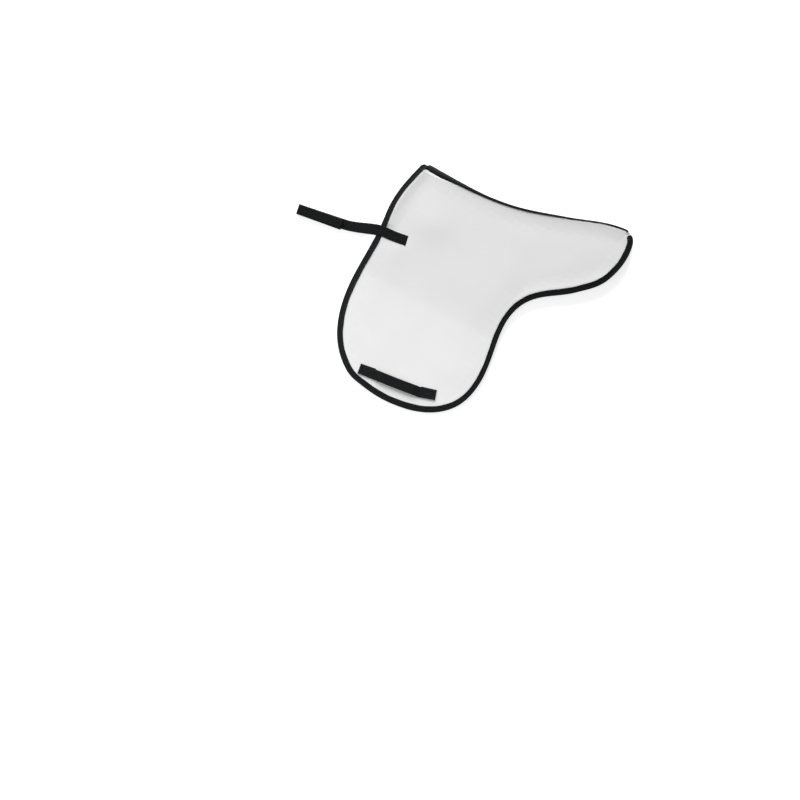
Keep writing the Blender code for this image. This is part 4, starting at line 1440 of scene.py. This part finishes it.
class PadOperator:
    """Builds its pieces on the lower half first, then on the upper one."""

    bl_options = {"REGISTER", "UNDO"}

    def execute(self, context):
        for side in (RIGHT, LEFT):
            self.build(side)
        return {"FINISHED"}


class PAD_OT_padded_halves(PadOperator, bpy.types.Operator):
    """Build both padded halves of the pad"""

    bl_idname = "saddle_pad.padded_halves"
    bl_label = "Padded halves"

    def build(self, side):
        padded_half(side)


class PAD_OT_tapes(PadOperator, bpy.types.Operator):
    """Build the bindings round both halves and the tape over the spine seam"""

    bl_idname = "saddle_pad.tapes"
    bl_label = "Binding and spine tape"

    def build(self, side):
        binding_piece(side)
        if side == LEFT:
            spine_tape_piece()


class PAD_OT_girth_keepers(PadOperator, bpy.types.Operator):
    """Build the girth keeper of each half"""

    bl_idname = "saddle_pad.girth_keepers"
    bl_label = "Girth keepers"

    def build(self, side):
        keeper_piece(side)


class PAD_OT_front_straps(PadOperator, bpy.types.Operator):
    """Build the front straps with their folded ends and hook-and-loop strips"""

    bl_idname = "saddle_pad.front_straps"
    bl_label = "Front straps"

    def build(self, side):
        front_strap_piece(side)
        strap_tail_piece(side)
        fastener_strips(side)


class PAD_OT_stitching(PadOperator, bpy.types.Operator):
    """Sew the bindings, the keepers and the strap ends"""

    bl_idname = "saddle_pad.stitching"
    bl_label = "Stitching"

    def build(self, side):
        binding_stitches(side)
        keeper_stitches(side)
        strap_stitches(side)


class PAD_OT_stage(PadOperator, bpy.types.Operator):
    """Add the floor, lamps, dome and camera"""

    bl_idname = "saddle_pad.stage"
    bl_label = "Stage"

    def execute(self, context):
        add_floor()
        light_world()
        softbox = {"shape": "DISK", "size": 0.7, "energy": 1.75}
        add_light("overhead_softbox", "AREA", SOFTBOX, BELOW_SOFTBOX, **softbox)
        add_light("window", "SUN", WINDOW, (0.0, 0.0, 0.0), angle=math.radians(45), energy=4.5)
        add_camera()
        context.scene.view_settings.view_transform = "Standard"
        return {"FINISHED"}


BUILD_ORDER = (
    PAD_OT_padded_halves,
    PAD_OT_tapes,
    PAD_OT_girth_keepers,
    PAD_OT_front_straps,
    PAD_OT_stitching,
    PAD_OT_stage,
)


class PAD_PT_sidebar(bpy.types.Panel):
    """Sizes, colours and the steps of the saddle pad"""

    bl_idname = "PAD_PT_sidebar"
    bl_label = "Saddle pad"
    bl_space_type = "VIEW_3D"
    bl_region_type = "UI"
    bl_category = "Saddle pad"

    def draw(self, context):
        layout = self.layout
        for settings in (context.scene.pad_shape, context.scene.pad_trim, context.scene.pad_colours):
            box = layout.box()
            for name in settings.bl_rna.properties.keys():
                if name not in ("rna_type", "name"):
                    box.prop(settings, name)
        for operator in BUILD_ORDER:
            layout.operator(operator.bl_idname)


SETTINGS = (
    ("pad_shape", PadShapeSettings),
    ("pad_trim", PadTrimSettings),
    ("pad_colours", PadColourSettings),
)


def register():
    for name, group in SETTINGS:
        bpy.utils.register_class(group)
        setattr(bpy.types.Scene, name, bpy.props.PointerProperty(type=group))
    for operator in BUILD_ORDER:
        bpy.utils.register_class(operator)
    bpy.utils.register_class(PAD_PT_sidebar)


def unregister():
    bpy.utils.unregister_class(PAD_PT_sidebar)
    for operator in reversed(BUILD_ORDER):
        bpy.utils.unregister_class(operator)
    for name, group in reversed(SETTINGS):
        delattr(bpy.types.Scene, name)
        bpy.utils.unregister_class(group)


def main():
    register()
    for operator in BUILD_ORDER:
        group, name = operator.bl_idname.split(".")
        getattr(getattr(bpy.ops, group), name)()


if __name__ == "__main__":
    main()
